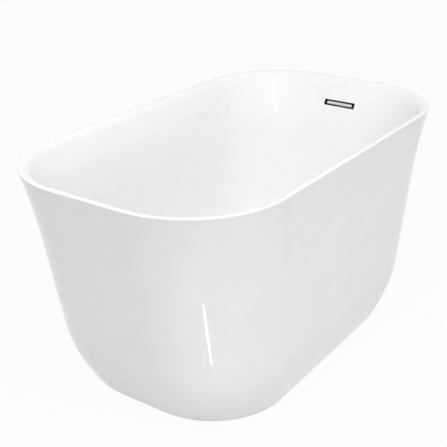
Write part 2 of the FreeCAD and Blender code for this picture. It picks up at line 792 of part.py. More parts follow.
def make_nuts(name, radius, height, bore, places, bottom):
    """Group of like hexagon nuts on upright threads."""
    pieces = []
    for i, (x, y) in enumerate(places, start=1):
        blank = hex_prism("%s_blank_%d" % (name, i), radius, height, (x, y, bottom))
        hole = rod("%s_bore_%d" % (name, i), bore, f"{height} + 2 * overrun", (x, y, f"{bottom} - overrun"))
        pieces.append(cut("%s_%d" % (name, i), blank, [hole]))
    return finish(group(name, pieces), name)


# Brackets between the frame and the foot of the skirt

def make_brackets():
    pieces = []
    hole_radius = "flange_bolt_radius + hole_play"
    for i, (end, side) in enumerate(BOLT_PLACES, start=1):
        body = new_body("bracket_bar_%d" % i)
        foot = f"{side} * bracket_foot"
        inner, outer = f"{side} * {RAIL_FACE}", f"{side} * ({RAIL_FACE} + bracket_thickness)"
        upper = f"{BRACKET_FLOOR} + bracket_thickness"
        points = [(inner, BRACKET_FLOOR), (foot, BRACKET_FLOOR), (foot, upper), (outer, upper),
                  (outer, "frame_top"), (inner, "frame_top")]
        pad = body.newObject("PartDesign::Pad", "bracket_pad_%d" % i)
        pad.Profile = polygon_sketch(body, "bracket_outline_%d" % i, "YZ_Plane", points)
        pad.SideType = "Symmetric"
        bind(pad, "Length", "bracket_width")
        x = f"{end} * bracket_offset"
        put(body, (x, "0", "0"))
        bolt = rod("bracket_bolt_hole_%d" % i, hole_radius, "bracket_thickness + 2 * overrun",
                   (x, f"{side} * bolt_line", f"{BRACKET_FLOOR} - overrun"))
        hole = rod("bracket_screw_hole_%d" % i, "rail_screw_radius + hole_play",
                   "bracket_thickness + 2 * overrun",
                   (x, f"{side} * ({RAIL_FACE} + bracket_thickness + overrun)", FRAME_MIDDLE))
        pieces.append(cut("skirt_bracket_%d" % i, body, [bolt, lay_across(hole, side)]))
    return finish(group("skirt_brackets", pieces), "skirt_brackets")


def make_rail_screws():
    pieces = []
    for i, (end, side) in enumerate(BOLT_PLACES, start=1):
        place = (f"{end} * bracket_offset", f"{side} * ({RAIL_FACE} + bracket_thickness)", FRAME_MIDDLE)
        piece = screw("rail_screw_%d" % i, "rail_screw_radius", "rail_screw_length", "rail_screw_head_radius",
                      "rail_screw_head_height", place)
        pieces.append(lay_across(piece, side))
    return finish(group("rail_screws", pieces), "rail_screws")


def make_flange_bolts():
    length = f"{BRACKET_FLOOR} - floor_gap + bracket_thickness + flange_nut_height + flange_bolt_stickout"
    outline = [("0", "0"), ("flange_bolt_head_radius", "0"),
               ("flange_bolt_radius", "flange_bolt_head_height"), ("flange_bolt_radius", length),
               ("0", length)]
    pieces = [turned("flange_bolt_%d" % i, outline,
                     (f"{end} * bracket_offset", f"{side} * bolt_line", "floor_gap"))
              for i, (end, side) in enumerate(BOLT_PLACES, start=1)]
    return finish(group("flange_bolts", pieces), "flange_bolts")


# Waste

FLANGE_SEAT = "(well_floor_height + waste_seal_thickness)"
CROSS_TOP = f"({FLANGE_SEAT} - waste_cross_depth)"
BARREL_BORE = "(waste_barrel_radius - waste_barrel_wall)"
CHAMBER_RADIUS = "(waste_barrel_radius + waste_play)"
TAIL_BORE = "(tailpiece_neck_radius + waste_play)"
TAIL_INSIDE = "(tailpiece_radius - tailpiece_wall)"
BRANCH_FACE = "(waste_offset + branch_reach)"
SPOUT_BORE = "(spout_radius - spout_wall)"
WASHER_BOTTOM = "(spigot_bottom - tail_washer_thickness)"
PLUG_UNDERSIDE = f"({FLANGE_SEAT} + waste_flange_height + plug_seat_gap + plug_seal_thickness)"


def ring(name, inner, outer, bottom, top):
    """Flat ring on the waste's axis."""
    outline = [(inner, bottom), (outer, bottom), (outer, top), (inner, top)]
    return finish(turned(name, outline, ("waste_offset", "0", "0")), name)


def make_waste_flange():
    outline = [(BARREL_BORE, "0 - waste_barrel_depth"), ("waste_barrel_radius", "0 - waste_barrel_depth"),
               ("waste_barrel_radius", "0"), ("waste_flange_radius", "0"),
               ("waste_flange_radius", "waste_flange_height / 3"),
               ("waste_flange_radius - waste_flange_height", "waste_flange_height"),
               ("plug_seal_inner", "waste_flange_height"), (BARREL_BORE, "waste_flange_height / 2")]
    shell = turned("waste_flange_shell", outline, ("waste_offset", "0", FLANGE_SEAT))
    bottom = f"{CROSS_TOP} - waste_cross_height"
    span = f"2 * {BARREL_BORE} + waste_barrel_wall"
    spans = (("along", span, "waste_cross_width"), ("across", "waste_cross_width", span))
    arms = [block("waste_arm_" + way, length, width, "waste_cross_height", "waste_offset", "0", bottom)
            for way, length, width in spans]
    boss = rod("waste_boss", "waste_boss_radius", "waste_cross_height", ("waste_offset", "0", bottom))
    bore = rod("waste_boss_hole", "waste_boss_bore", "waste_cross_height + 2 * overrun",
               ("waste_offset", "0", f"{bottom} - overrun"))
    whole = fuse("waste_flange_whole", [shell, *arms, boss])
    return finish(cut("waste_flange", whole, [bore]), "waste_flange")


def make_waste_body():
    solid = turned("waste_body_solid", [
        ("0", "waste_top"), ("waste_body_flange_radius", "waste_top"),
        ("waste_body_flange_radius", "waste_top - waste_body_flange_height"),
        ("waste_body_radius", "waste_top - waste_body_flange_height"),
        ("waste_body_radius", "waste_body_floor"), ("spigot_radius", "spigot_top"),
        ("spigot_radius", "spigot_bottom"), ("0", "spigot_bottom")], ("waste_offset", "0", "0"))
    hollow = turned("waste_body_hollow", [
        ("0", "tailpiece_top"), (TAIL_INSIDE, "tailpiece_top"), (TAIL_INSIDE, "spigot_top"),
        (CHAMBER_RADIUS, "waste_body_floor + waste_barrel_wall"), (CHAMBER_RADIUS, "waste_top + overrun"),
        ("0", "waste_top + overrun")], ("waste_offset", "0", "0"))
    socket = rod("waste_body_socket", TAIL_BORE, "tailpiece_top - spigot_bottom + overrun",
                 ("waste_offset", "0", "spigot_bottom - overrun"))
    root = along_hose_end("waste_branch_root", "branch_root_radius", "waste_offset", "branch_reach")
    spout = along_hose_end("waste_branch_spout", "spout_radius", "waste_offset",
                           "branch_reach + spout_length")
    bore = along_hose_end("waste_branch_bore", SPOUT_BORE, "waste_offset",
                          "branch_reach + spout_length + overrun")
    whole = fuse("waste_body_whole", [solid, root, spout])
    return finish(cut("waste_body", whole, [hollow, socket, bore]), "waste_body")


def along_hose_end(name, radius, start, length):
    """Level rod on the branch's axis, from start towards the foot end."""
    piece = rod(name, radius, length, (start, "0", "branch_height"))
    piece.Placement = FreeCAD.Placement(piece.Placement.Base, FreeCAD.Rotation(FreeCAD.Vector(0, 1, 0), 90))
    return piece


def make_waste_rings():
    ring("waste_seal", "waste_hole_radius", "waste_seal_radius", "well_floor_height", FLANGE_SEAT)
    ring("tub_gasket", "waste_hole_radius", "waste_seal_radius", "waste_top", "board_top")
    ring("tail_washer", TAIL_BORE, "spigot_radius", WASHER_BOTTOM, "spigot_bottom")
    nut_bore = "spigot_radius + waste_play"
    nut_bottom = f"{WASHER_BOTTOM} - tail_nut_lip"
    shoulder = f"{nut_bottom} - tail_shoulder_gap"
    finish(turned("tailpiece", [
        (TAIL_INSIDE, "tailpiece_bottom"), ("tailpiece_radius", "tailpiece_bottom"),
        ("tailpiece_radius", shoulder), ("tailpiece_neck_radius", shoulder),
        ("tailpiece_neck_radius", "tailpiece_top"), (TAIL_INSIDE, "tailpiece_top")],
        ("waste_offset", "0", "0")), "tailpiece")
    outline = [(TAIL_BORE, nut_bottom), ("tail_nut_radius", nut_bottom), ("tail_nut_radius", "tail_nut_top"),
               (nut_bore, "tail_nut_top"), (nut_bore, WASHER_BOTTOM), (TAIL_BORE, WASHER_BOTTOM)]
    finish(turned("tail_nut", outline, ("waste_offset", "0", "0")), "tail_nut")


# Click plug

def make_plug():
    place = ("waste_offset", "0", PLUG_UNDERSIDE)
    socket = "(stem_radius + stem_play)"
    cap = turned("plug_cap", [
        ("0", "0"), (socket, "0"), (socket, "0 - plug_hub_height"),
        ("plug_hub_radius", "0 - plug_hub_height"), ("plug_hub_radius", "0"), ("plug_radius", "0"),
        ("plug_radius", "plug_plate / 2"), ("plug_radius - plug_plate", "plug_plate"),
        ("plug_radius / 2", "plug_plate + plug_crown * plug_crown_share"),
        ("0", "plug_plate + plug_crown")], place)
    finish(cap, "plug_cap")
    finish(rod("plug_stem", "stem_radius", "stem_length",
               ("waste_offset", "0", f"{PLUG_UNDERSIDE} - stem_length")), "plug_stem")
    ring("plug_seal", "plug_seal_inner", "plug_seal_outer", f"{PLUG_UNDERSIDE} - plug_seal_thickness",
         PLUG_UNDERSIDE)
    outside = "(waste_boss_bore - cartridge_play)"
    collar = "cartridge_collar_radius"
    finish(turned("plug_cartridge", [
        (socket, "0 - cartridge_depth"), (outside, "0 - cartridge_depth"), (outside, "0"), (collar, "0"),
        (collar, "cartridge_collar_height"), (socket, "cartridge_collar_height")],
        ("waste_offset", "0", CROSS_TOP)), "plug_cartridge")


SPRING_QUARTER_TURNS = 16


def make_plug_spring():
    """Compression spring between the cartridge and the plug's hub, in quarter turns."""
    bottom = value(f"{CROSS_TOP} + cartridge_collar_height + spring_end_gap + spring_wire_radius")
    top = value(f"{PLUG_UNDERSIDE} - plug_hub_height - spring_end_gap - spring_wire_radius")
    radius, wire_radius = value("spring_radius"), value("spring_wire_radius")

    def point(step):
        angle = step * math.pi / 2
        return FreeCAD.Vector(radius * math.cos(angle), radius * math.sin(angle),
                              bottom + (top - bottom) * step / SPRING_QUARTER_TURNS)

    edges = [Part.Arc(point(i), point(i + HALF_SHARES[1]), point(i + 1)).toShape()
             for i in range(SPRING_QUARTER_TURNS)]
    direction = edges[0].tangentAt(edges[0].FirstParameter)
    circle = Part.Wire(Part.Circle(point(0), direction, wire_radius).toShape())
    spring = doc.addObject("Part::Feature", "plug_spring")
    spring.Shape = Part.Wire(edges).makePipeShell([circle], True, False)
    put(spring, ("waste_offset", "0", "0"))
    return finish(spring, "plug_spring")


# Overflow

WALL_BACK = f"({BACKING_OUTSIDE} * cos({SLOT_LEAN} * 1 deg))"
GASKET_FRONT = f"({WALL_BACK} + overflow_seat_gap)"
BOX_FRONT = f"({GASKET_FRONT} + overflow_gasket_thickness)"
BOX_BACK = f"({BOX_FRONT} + box_depth)"
STRAP_FRONT = "(trim_depth - strap_thickness)"


def slot_block(name, front, depth, width, height, across="0"):
    """Block in the slot's leaning frame, from its front outwards, centred on the slot."""
    x, z = on_slot(front, f"0 - ({height}) / 2")
    piece = doc.addObject("Part::Box", name)
    tilt(piece, (0, 1, 0), SLOT_LEAN)
    for prop, text in (("Length", depth), ("Width", width), ("Height", height)):
        bind(piece, prop, text)
    put(piece, (x, f"{across} - ({width}) / 2", z))
    return piece


def slot_rod(name, radius, front, length, across):
    """Rod that runs outwards in the slot's leaning frame."""
    x, z = on_slot(front, "0")
    piece = doc.addObject("Part::Cylinder", name)
    tilt(piece, (0, 1, 0), f"{SLOT_LEAN} + 90")
    bind(piece, "Radius", radius)
    bind(piece, "Height", length)
    put(piece, (x, across, z))
    return piece


def make_overflow_trim():
    lip = slot_block("trim_lip_plate", "0 - trim_seat_gap - trim_lip_thickness", "trim_lip_thickness",
                     "slot_width + 2 * trim_lip", "slot_opening + 2 * trim_lip")
    sleeve = slot_block("trim_sleeve", "0 - trim_seat_gap - trim_lip_thickness / 2",
                        "trim_depth + trim_seat_gap + trim_lip_thickness / 2", "slot_width", "slot_opening")
    passage = slot_block("trim_passage", "0 - overrun", "trim_depth + 2 * overrun",
                         "slot_width - 2 * trim_wall", "slot_opening - 2 * trim_wall")
    frame = cut("trim_frame", fuse("trim_blank", [lip, sleeve]), [passage])
    places = [f"{side} * {offset}" for side in (-1, 1)
              for offset in ("blade_strap_offset", "screw_strap_offset")]
    straps = [slot_block("trim_strap_%d" % i, STRAP_FRONT, "strap_thickness", "strap_width",
                         "slot_opening - trim_wall", across) for i, across in enumerate(places, start=1)]
    holes = [slot_rod("trim_screw_hole_%d" % (side + 2), "overflow_screw_radius + hole_play",
                      f"{STRAP_FRONT} - overrun", "strap_thickness + 2 * overrun",
                      f"{side} * screw_strap_offset") for side in (-1, 1)]
    return finish(cut("overflow_trim", fuse("trim_whole", [frame, *straps]), holes), "overflow_trim")


def make_overflow_blade():
    bar = slot_block("blade_bar", "blade_recess", "blade_thickness", "blade_width", "blade_height")
    posts = [slot_rod("blade_post_%d" % (side + 2), "blade_post_radius", "blade_recess + blade_thickness / 2",
                      f"{STRAP_FRONT} - blade_recess - blade_thickness / 2", f"{side} * blade_strap_offset")
             for side in (-1, 1)]
    return finish(fuse("overflow_blade", [bar, *posts]), "overflow_blade")


def make_overflow_screws():
    pieces = []
    for i, side in enumerate((-1, 1), start=1):
        across = f"{side} * screw_strap_offset"
        head = slot_rod("overflow_screw_head_%d" % i, "overflow_screw_head_radius",
                        f"{STRAP_FRONT} - overflow_screw_head_height", "overflow_screw_head_height", across)
        shank = slot_rod("overflow_screw_shank_%d" % i, "overflow_screw_radius",
                         f"{STRAP_FRONT} - overflow_screw_head_height / 2",
                         f"{BOX_BACK} - box_wall - {STRAP_FRONT} + overflow_screw_head_height / 2", across)
        pieces.append(fuse("overflow_screw_%d" % i, [head, shank]))
    return finish(group("overflow_screws", pieces), "overflow_screws")


def make_overflow_gasket():
    outside = slot_block("gasket_blank", GASKET_FRONT, "overflow_gasket_thickness", "box_width + 2 * box_rim",
                         "box_opening + 2 * box_rim")
    hole = slot_block("gasket_hole", f"{GASKET_FRONT} - overrun", "overflow_gasket_thickness + 2 * overrun",
                      "slot_width + 2 * slot_play", "slot_opening + 2 * slot_play")
    return finish(cut("overflow_gasket", outside, [hole]), "overflow_gasket")


# Elbow under the overflow box and the hose down to the waste

ELBOW_X, ELBOW_Z = on_slot("elbow_out", "0 - box_opening / 2 - elbow_drop")
AIM_X = (f"(tub_length / 2 - ({well_inset('end', 'wall', 'hose_aim_height')}"
         f" + {skirt_inset('end', 'wall', 'hose_aim_height')}) / 2)")
HOSE_LEAN = f"(atan((({ELBOW_X}) - {AIM_X}) / (({ELBOW_Z}) - hose_aim_height)) / 1 deg)"


def on_hose(distance):
    """Plan and height of a point down the hose's upper run, from the elbow."""
    return (f"{ELBOW_X} - ({distance}) * sin({HOSE_LEAN} * 1 deg)",
            f"{ELBOW_Z} - ({distance}) * cos({HOSE_LEAN} * 1 deg)")


def hose_rod(name, radius, start, length, across="0"):
    """Rod on the hose's upper run, from start down it."""
    x, z = on_hose(f"{start} + {length}")
    piece = doc.addObject("Part::Cylinder", name)
    tilt(piece, (0, 1, 0), HOSE_LEAN)
    bind(piece, "Radius", radius)
    bind(piece, "Height", length)
    put(piece, (x, across, z))
    return piece


def make_overflow_box():
    rim = slot_block("box_rim_plate", BOX_FRONT, "box_wall", "box_width + 2 * box_rim",
                     "box_opening + 2 * box_rim")
    blank = slot_block("box_blank", BOX_FRONT, "box_depth", "box_width", "box_opening")
    neck = elbow_neck("box_neck", "spout_radius", "box_opening / 2 - box_wall / 2")
    ball = primitive("Sphere", "box_elbow", {"Radius": "spout_radius"}, (ELBOW_X, "0", ELBOW_Z))
    collar = hose_rod("box_collar", "hose_radius", "spout_collar_height / 2", "spout_collar_height / 2")
    spout = hose_rod("box_spout", "spout_radius", "0", "spout_collar_height + spout_length")
    solid = fuse("box_solid", [rim, blank, neck, ball, collar, spout])
    hollow = slot_block("box_hollow", f"{BOX_FRONT} - overrun", "box_depth + overrun - box_wall",
                        "box_width - 2 * box_wall", "box_opening - 2 * box_wall")
    bores = [elbow_neck("box_neck_bore", SPOUT_BORE, "box_opening / 2 - 2 * box_wall"),
             primitive("Sphere", "box_elbow_bore", {"Radius": SPOUT_BORE}, (ELBOW_X, "0", ELBOW_Z)),
             hose_rod("box_spout_bore", SPOUT_BORE, "0", "spout_collar_height + spout_length + overrun")]
    shell = cut("box_shell", solid, [hollow, *bores])
    boss_front = "(trim_depth + slot_play)"
    bosses = [slot_rod("box_boss_%d" % (side + 2), "box_boss_radius", boss_front,
                       f"{BOX_BACK} - box_wall / 2 - {boss_front}", f"{side} * screw_strap_offset")
              for side in (-1, 1)]
    holes = [slot_rod("box_boss_hole_%d" % (side + 2), "overflow_screw_radius + cap_play", boss_front,
                      f"{BOX_BACK} - box_wall - {boss_front}", f"{side} * screw_strap_offset")
             for side in (-1, 1)]
    return finish(cut("overflow_box", fuse("box_whole", [shell, *bosses]), holes), "overflow_box")


def elbow_neck(name, radius, top):
    """Rod square to the box's underside, from the elbow up to a height within the box."""
    piece = doc.addObject("Part::Cylinder", name)
    tilt(piece, (0, 1, 0), SLOT_LEAN)
    bind(piece, "Radius", radius)
    bind(piece, "Height", f"box_opening / 2 + elbow_drop - ({top})")
    put(piece, (ELBOW_X, "0", ELBOW_Z))
    return piece


def make_hose():
    body = new_body("overflow_hose")
    spine = new_sketch(body, "hose_route", "XZ_Plane")
    lean = math.radians(value(HOSE_LEAN))
    start_x, start_z = on_hose("spout_collar_height")
    top = FreeCAD.Vector(value(start_x), value(start_z), 0)
    level, end_x = value("branch_height"), value(BRANCH_FACE)
    radius, turn = value("hose_bend_radius"), math.pi / 2 - lean
    corner = top + FreeCAD.Vector(-math.sin(lean), -math.cos(lean), 0) * ((top.y - level) / math.cos(lean))
    tangent = radius * math.tan(turn / 2)
    upper = corner + FreeCAD.Vector(math.sin(lean), math.cos(lean), 0) * tangent
    lower = corner - FreeCAD.Vector(tangent, 0, 0)
    centre = lower + FreeCAD.Vector(0, radius, 0)
    spine.addGeometry(Part.LineSegment(top, upper), False)
    circle = Part.Circle(centre, FreeCAD.Vector(0, 0, 1), radius)
    spine.addGeometry(Part.ArcOfCircle(circle, -math.pi / 2, -math.pi / 2 + turn), False)
    spine.addGeometry(Part.LineSegment(lower, FreeCAD.Vector(end_x, level, 0)), False)
    spine.addConstraint(Sketcher.Constraint("Tangent", 0, 2, 1, 2))
    spine.addConstraint(Sketcher.Constraint("Tangent", 1, 1, 2, 1))
    spine.addConstraint(Sketcher.Constraint("Horizontal", 2))
    tie(spine, "Radius", (1,), "hose_bend_radius")
    tie(spine, "DistanceX", (-1, 1, 0, 1), start_x)
    tie(spine, "DistanceY", (-1, 1, 0, 1), start_z)
    tie(spine, "DistanceX", (-1, 1, 2, 2), BRANCH_FACE)
    tie(spine, "DistanceY", (-1, 1, 2, 2), "branch_height")
    index = spine.addConstraint(Sketcher.Constraint("Angle", 0, -math.pi / 2 - lean))
    bind(spine, "Constraints[%d]" % index, f"(0 - 90 - {HOSE_LEAN}) * 1 deg")
    section = new_sketch(body, "hose_section", "XY_Plane")
    tilted = FreeCAD.Rotation(FreeCAD.Vector(0, 1, 0), 1)
    section.AttachmentOffset = FreeCAD.Placement(FreeCAD.Vector(), tilted)
    bind(section, "AttachmentOffset.Rotation.Angle", HOSE_LEAN)
    bind(section, "AttachmentOffset.Base.x", start_x)
    bind(section, "AttachmentOffset.Base.z", start_z)
    for hose_size in ("hose_radius", "hose_bore_radius"):
        circle = Part.Circle(FreeCAD.Vector(), FreeCAD.Vector(0, 0, 1), value(hose_size))
        index = section.addGeometry(circle, False)
        section.addConstraint(Sketcher.Constraint("Coincident", index, 3, -1, 1))
        tie(section, "Radius", (index,), hose_size)
    pipe = body.newObject("PartDesign::AdditivePipe", "hose_tube")
    pipe.Profile = section
    pipe.Spine = (spine, ["Edge1", "Edge2", "Edge3"])
    doc.recompute()
    return finish(body, "overflow_hose")


def make_hose_clips():
    inner, outer = "hose_radius + hose_play", "hose_radius + hose_play + clip_thickness"
    side = f"({outer} + clip_screw_radius / 2)"
    clearance = "clip_screw_radius"
    ring_upper = hose_rod("clip_ring_upper", outer, f"spout_collar_height + {clearance}", "clip_width")
    upper = cut("clip_band_upper", ring_upper,
                [hose_rod("clip_hole_upper", inner, "0", "spout_collar_height + clip_width + 4 * overrun")])
    upper_screw = hose_rod("clip_screw_upper", "clip_screw_radius",
                           f"spout_collar_height + {clearance} - (clip_screw_length - clip_width) / 2",
                           "clip_screw_length", side)
    start = f"{BRANCH_FACE} + {clearance}"
    lower = cut("clip_band_lower", along_hose_end("clip_ring_lower", outer, start, "clip_width"),
                [along_hose_end("clip_hole_lower", inner, f"{start} - overrun", "clip_width + 2 * overrun")])
    lower_screw = along_hose_end("clip_screw_lower", "clip_screw_radius",
                                 f"{start} - (clip_screw_length - clip_width) / 2", "clip_screw_length")
    put(lower_screw, (f"{start} - (clip_screw_length - clip_width) / 2", side, "branch_height"))
    upper_bore = hose_rod("clip_clear_upper", inner, "0", "clip_width + 6 * overrun")
    lower_bore = along_hose_end("clip_clear_lower", inner, BRANCH_FACE, "clip_width + 4 * overrun")
    pieces = []
    for name, band, housing, bore in (("upper", upper, upper_screw, upper_bore),
                                      ("lower", lower, lower_screw, lower_bore)):
        pieces.append(cut("hose_clip_" + name, fuse("clip_whole_" + name, [band, housing]), [bore]))
    return finish(group("hose_clips", pieces), "hose_clips")


def make_tub():
    make_skirt()
    make_skirt_backing()
    make_rim_bond()
    make_basin()
    make_basin_backing()


def make_frame():
    make_board()
    make_rail("rail_left", 1)
    make_rail("rail_right", -1)
    for name, x in CROSSBARS.items():
        make_crossbar(name.replace("crossbar_", "crossbar_at_"), x)
    make_board_screws()
    make_rail_caps()
    make_brackets()
    make_rail_screws()
    make_flange_bolts()
    bolts = [(f"{end} * bracket_offset", f"{side} * bolt_line") for end, side in BOLT_PLACES]
    make_nuts("flange_nuts", "flange_nut_radius", "flange_nut_height", "flange_bolt_radius + stud_play",
              bolts, f"{BRACKET_FLOOR} + bracket_thickness")


def make_feet():
    for name, (end, side) in FEET.items():
        make_foot(name, end, side)
    places = [(f"{end} * foot_offset", f"{side} * rail_offset") for end, side in FEET.values()]
    make_nuts("leg_nuts", "leg_nut_radius", "leg_nut_height", "stud_radius + stud_play", places,
              "frame_bottom - leg_nut_height")
    make_nuts("lock_nuts", "leg_nut_radius", "lock_nut_height", "stud_radius + stud_play", places,
              "frame_bottom - leg_nut_height - lock_nut_height")


def make_waste():
    make_waste_rings()
    make_waste_flange()
    make_waste_body()
    make_plug()
    make_plug_spring()


def make_overflow():
    make_overflow_trim()
    make_overflow_blade()
    make_overflow_screws()
    make_overflow_gasket()
    make_overflow_box()
    make_hose()
    make_hose_clips()


def check_and_write():
    """Stop at any failed object, then write one STEP file for each piece or group."""
    doc.recompute()
    for thing in doc.Objects:
        if "Invalid" in thing.State or "Error" in thing.State:
            raise RuntimeError("%s is %s" % (thing.Name, thing.State))
    for node in nodes:
        if node.Shape.isNull() or not node.Shape.isValid():
            raise RuntimeError("%s has a bad shape" % node.Label)
    os.makedirs("parts", exist_ok=True)
    for node in nodes:
        node.Shape.exportStep("parts/%s.step" % node.Label)
        print(node.Label, len(node.Shape.Solids), round(node.Shape.Volume))


make_tub()
make_frame()
make_feet()
make_waste()
make_overflow()
check_and_write()
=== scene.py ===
"""Freestanding white bathtub: surfaces, fittings and studio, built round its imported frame."""

import json
import math

import bmesh
import bpy
from bpy.props import FloatProperty, FloatVectorProperty, IntProperty, PointerProperty
from mathutils import Matrix, Vector

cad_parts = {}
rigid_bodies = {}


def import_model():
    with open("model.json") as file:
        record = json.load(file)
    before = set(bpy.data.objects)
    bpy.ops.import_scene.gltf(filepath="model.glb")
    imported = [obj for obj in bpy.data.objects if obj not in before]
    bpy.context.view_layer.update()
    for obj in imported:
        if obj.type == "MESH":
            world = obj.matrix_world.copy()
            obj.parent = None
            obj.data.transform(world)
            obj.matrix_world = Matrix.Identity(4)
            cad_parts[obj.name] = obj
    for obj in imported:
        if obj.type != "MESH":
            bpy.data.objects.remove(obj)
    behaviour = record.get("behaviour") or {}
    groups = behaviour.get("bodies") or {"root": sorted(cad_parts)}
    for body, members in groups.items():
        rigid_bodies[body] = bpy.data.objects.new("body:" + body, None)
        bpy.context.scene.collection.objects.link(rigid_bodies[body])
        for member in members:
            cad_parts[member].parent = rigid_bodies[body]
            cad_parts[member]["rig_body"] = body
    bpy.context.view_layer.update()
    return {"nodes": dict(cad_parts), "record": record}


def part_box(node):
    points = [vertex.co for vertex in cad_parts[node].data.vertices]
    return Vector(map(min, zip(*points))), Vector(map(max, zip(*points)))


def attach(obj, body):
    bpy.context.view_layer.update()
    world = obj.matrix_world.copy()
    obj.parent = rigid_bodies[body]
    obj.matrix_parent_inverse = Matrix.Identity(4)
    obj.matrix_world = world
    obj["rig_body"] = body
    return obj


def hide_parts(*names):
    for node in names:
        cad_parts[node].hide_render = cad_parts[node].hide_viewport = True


bl_info = {
    "name": "Freestanding bathtub",
    "version": (1, 0, 0),
    "blender": (4, 5, 0),
    "location": "3D View > Sidebar > Bathtub",
    "description": "Builds a white bathtub with its waste, overflow, frame and feet",
    "category": "Add Mesh",
}

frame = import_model()
IMAGE_PIXELS = 447
MM = 0.001
QUARTER = math.pi / 2
FULL_TURN = 2 * math.pi
FEET = ("head_left", "head_right", "foot_left", "foot_right")
FACES = ("end", "side")

# Points nearer than these are one point: in a solid, in a small piece and in a shell.
SOLID_WELD = 0.001 * MM
SMALL_WELD = 0.002 * MM
SHELL_WELD = 0.005 * MM
# Edges sharper than these angles in degrees stay creased, on a shell, a turned piece and a ribbed piece.
SHELL_CREASE = 35
TURNED_CREASE = 40
RIBBED_CREASE = 50


# Settings

def linear(code):
    """Linear colour of an sRGB hex code."""
    channels = [int(code[i:i + 2], 16) / 255 for i in (1, 3, 5)]
    return [c / 12.92 if c <= 0.04045 else ((c + 0.055) / 1.055) ** 2.4 for c in channels] + [1.0]


def size(name, description, millimetres):
    """Length property with its default in millimetres."""
    return FloatProperty(name=name, description=description, default=millimetres * MM, min=0.0,
                         unit="LENGTH", subtype="DISTANCE", precision=5)


def lean(name, description, degrees):
    return FloatProperty(name=name, description=description, default=math.radians(degrees), subtype="ANGLE")


def colour(name, description, code):
    return FloatVectorProperty(name=name, description=description, default=linear(code), size=4,
                               min=0.0, max=1.0, subtype="COLOR")


class TubSizes(bpy.types.PropertyGroup):
    """Sizes of the two acrylic shells"""
    length: size("Length", "Length over the rim", 1200)
    width: size("Width", "Width over the rim", 680)
    height: size("Height", "Height of the rim above the floor", 600)
    rim_corner: size("Rim corner radius", "Radius of the rim's corners in plan", 243)
    base_corner: size("Base corner radius", "Radius of the base's corners in plan", 204)
    floor_gap: size("Floor gap", "Gap between the skirt's foot and the floor", 2)
    flare_depth: size("Flare depth", "Height of the flare under the rim", 180)
    rounding_height: size("Rounding height", "Height up to which the skirt curves in to its base", 168)
    end_flare_lean: lean("End flare lean", "Lean of the ends at the rim", 17.1)
    end_wall_lean: lean("End wall lean", "Lean of the ends below the flare", 11.9)
    end_base_lean: lean("End base lean", "Lean of the ends at the floor", 30.8)
    side_flare_lean: lean("Side flare lean", "Lean of the sides at the rim", 9)
    side_wall_lean: lean("Side wall lean", "Lean of the sides below the flare", 1.9)
    side_base_lean: lean("Side base lean", "Lean of the sides at the floor", 27.4)
    base_edge: size("Base edge radius", "Rounding of the skirt's foot", 12)
    sheet: size("Acrylic thickness", "Thickness of the acrylic sheets", 4.5)
    backing: size("Backing thickness", "Thickness of the glass fibre backing", 2.5)
    bond_gap: size("Bond gap", "Gap between the sheet and its backing", 0.3)
    backing_drop: size("Backing drop", "Depth of the backing's edge below the rim", 45)
    return_width: size("Return width", "Width of the skirt's inward return at its foot", 30)
    rim_thickness: size("Rim thickness", "Depth of the rim's outer face", 7)
    rim_edge: size("Rim edge radius", "Rounding of the rim's outer edge", 2)
    rim_roll: size("Rim roll radius", "Rounding from the rim down into the well", 26)
    rim_under: size("Rim underside radius", "Rounding under the rim", 18)
    seam_bond: size("Seam bond", "Thickness of the adhesive under the rim", 0.5)
    well_floor: size("Well floor height", "Height of the well's floor", 150)
    well_bend: size("Well bend depth", "Depth in which the well's walls steepen", 160)
    end_rim: size("End rim width", "Width of the rim at the ends", 20.5)
    side_rim: size("Side rim width", "Width of the rim at the sides", 22)
    end_well_top_lean: lean("End well top lean", "Lean of the well's ends at the rim", 36)
    end_well_lean: lean("End well lean", "Lean of the well's ends below the bend", 14)
    side_well_top_lean: lean("Side well top lean", "Lean of the well's sides at the rim", 24)
    side_well_lean: lean("Side well lean", "Lean of the well's sides below the bend", 7)
    well_corner: size("Well floor corner radius", "Corner radius in plan at the well's floor", 180)
    well_edge: size("Well floor edge radius", "Rounding between the well's floor and walls", 100)
    corner_steps: IntProperty(name="Corner steps", description="Faces round each corner", default=28, min=4)
    side_steps: IntProperty(name="Side steps", description="Faces along each side", default=44, min=2)
    end_steps: IntProperty(name="End steps", description="Faces along each end", default=14, min=2)


class FittingSizes(bpy.types.PropertyGroup):
    """Sizes of the openings, threads and ribs"""
    drain_radius: size("Drain hole radius", "Radius of the hole for the waste", 25)
    slot_width: size("Slot width", "Width of the overflow's opening", 99.4)
    slot_height: size("Slot height", "Height of the overflow's opening", 17)
    overflow_drop: size("Overflow drop", "Depth of the overflow slot below the rim", 69)
    bolt_radius: size("Bolt hole radius", "Radius of the holes in the skirt's return", 2.7)
    bolt_sink: size("Bolt sink radius", "Radius of the countersinks in the skirt's return", 5.2)
    bolt_sink_depth: size("Bolt sink depth", "Depth of the countersinks", 2.5)
    thread_pitch: size("Thread pitch", "Pitch of the feet's studs", 1.75)
    thread_depth: size("Thread depth", "Depth of the feet's thread", 1.07)
    hose_pitch: size("Hose rib pitch", "Distance between the hose's ribs", 5)
    hose_rib: size("Hose rib height", "Height of the hose's ribs", 1.0)
    hose_bore: size("Hose bore radius", "Inner radius of the hose", 10.8)
    hose_radius: size("Hose radius", "Outer radius of the hose", 13)
    hose_wall: size("Hose wall", "Wall of the hose between its cuffs", 0.9)
    hose_cuff: size("Hose cuff", "Length of the plain ends of the hose", 24)
    hose_bend: size("Hose bend radius", "Radius of the hose's bend", 88)
    hose_lean: lean("Hose lean", "Lean of the hose's upper run", 13.233)
    nut_ribs: IntProperty(name="Nut ribs", description="Grip ribs round the tail nut", default=24, min=3)


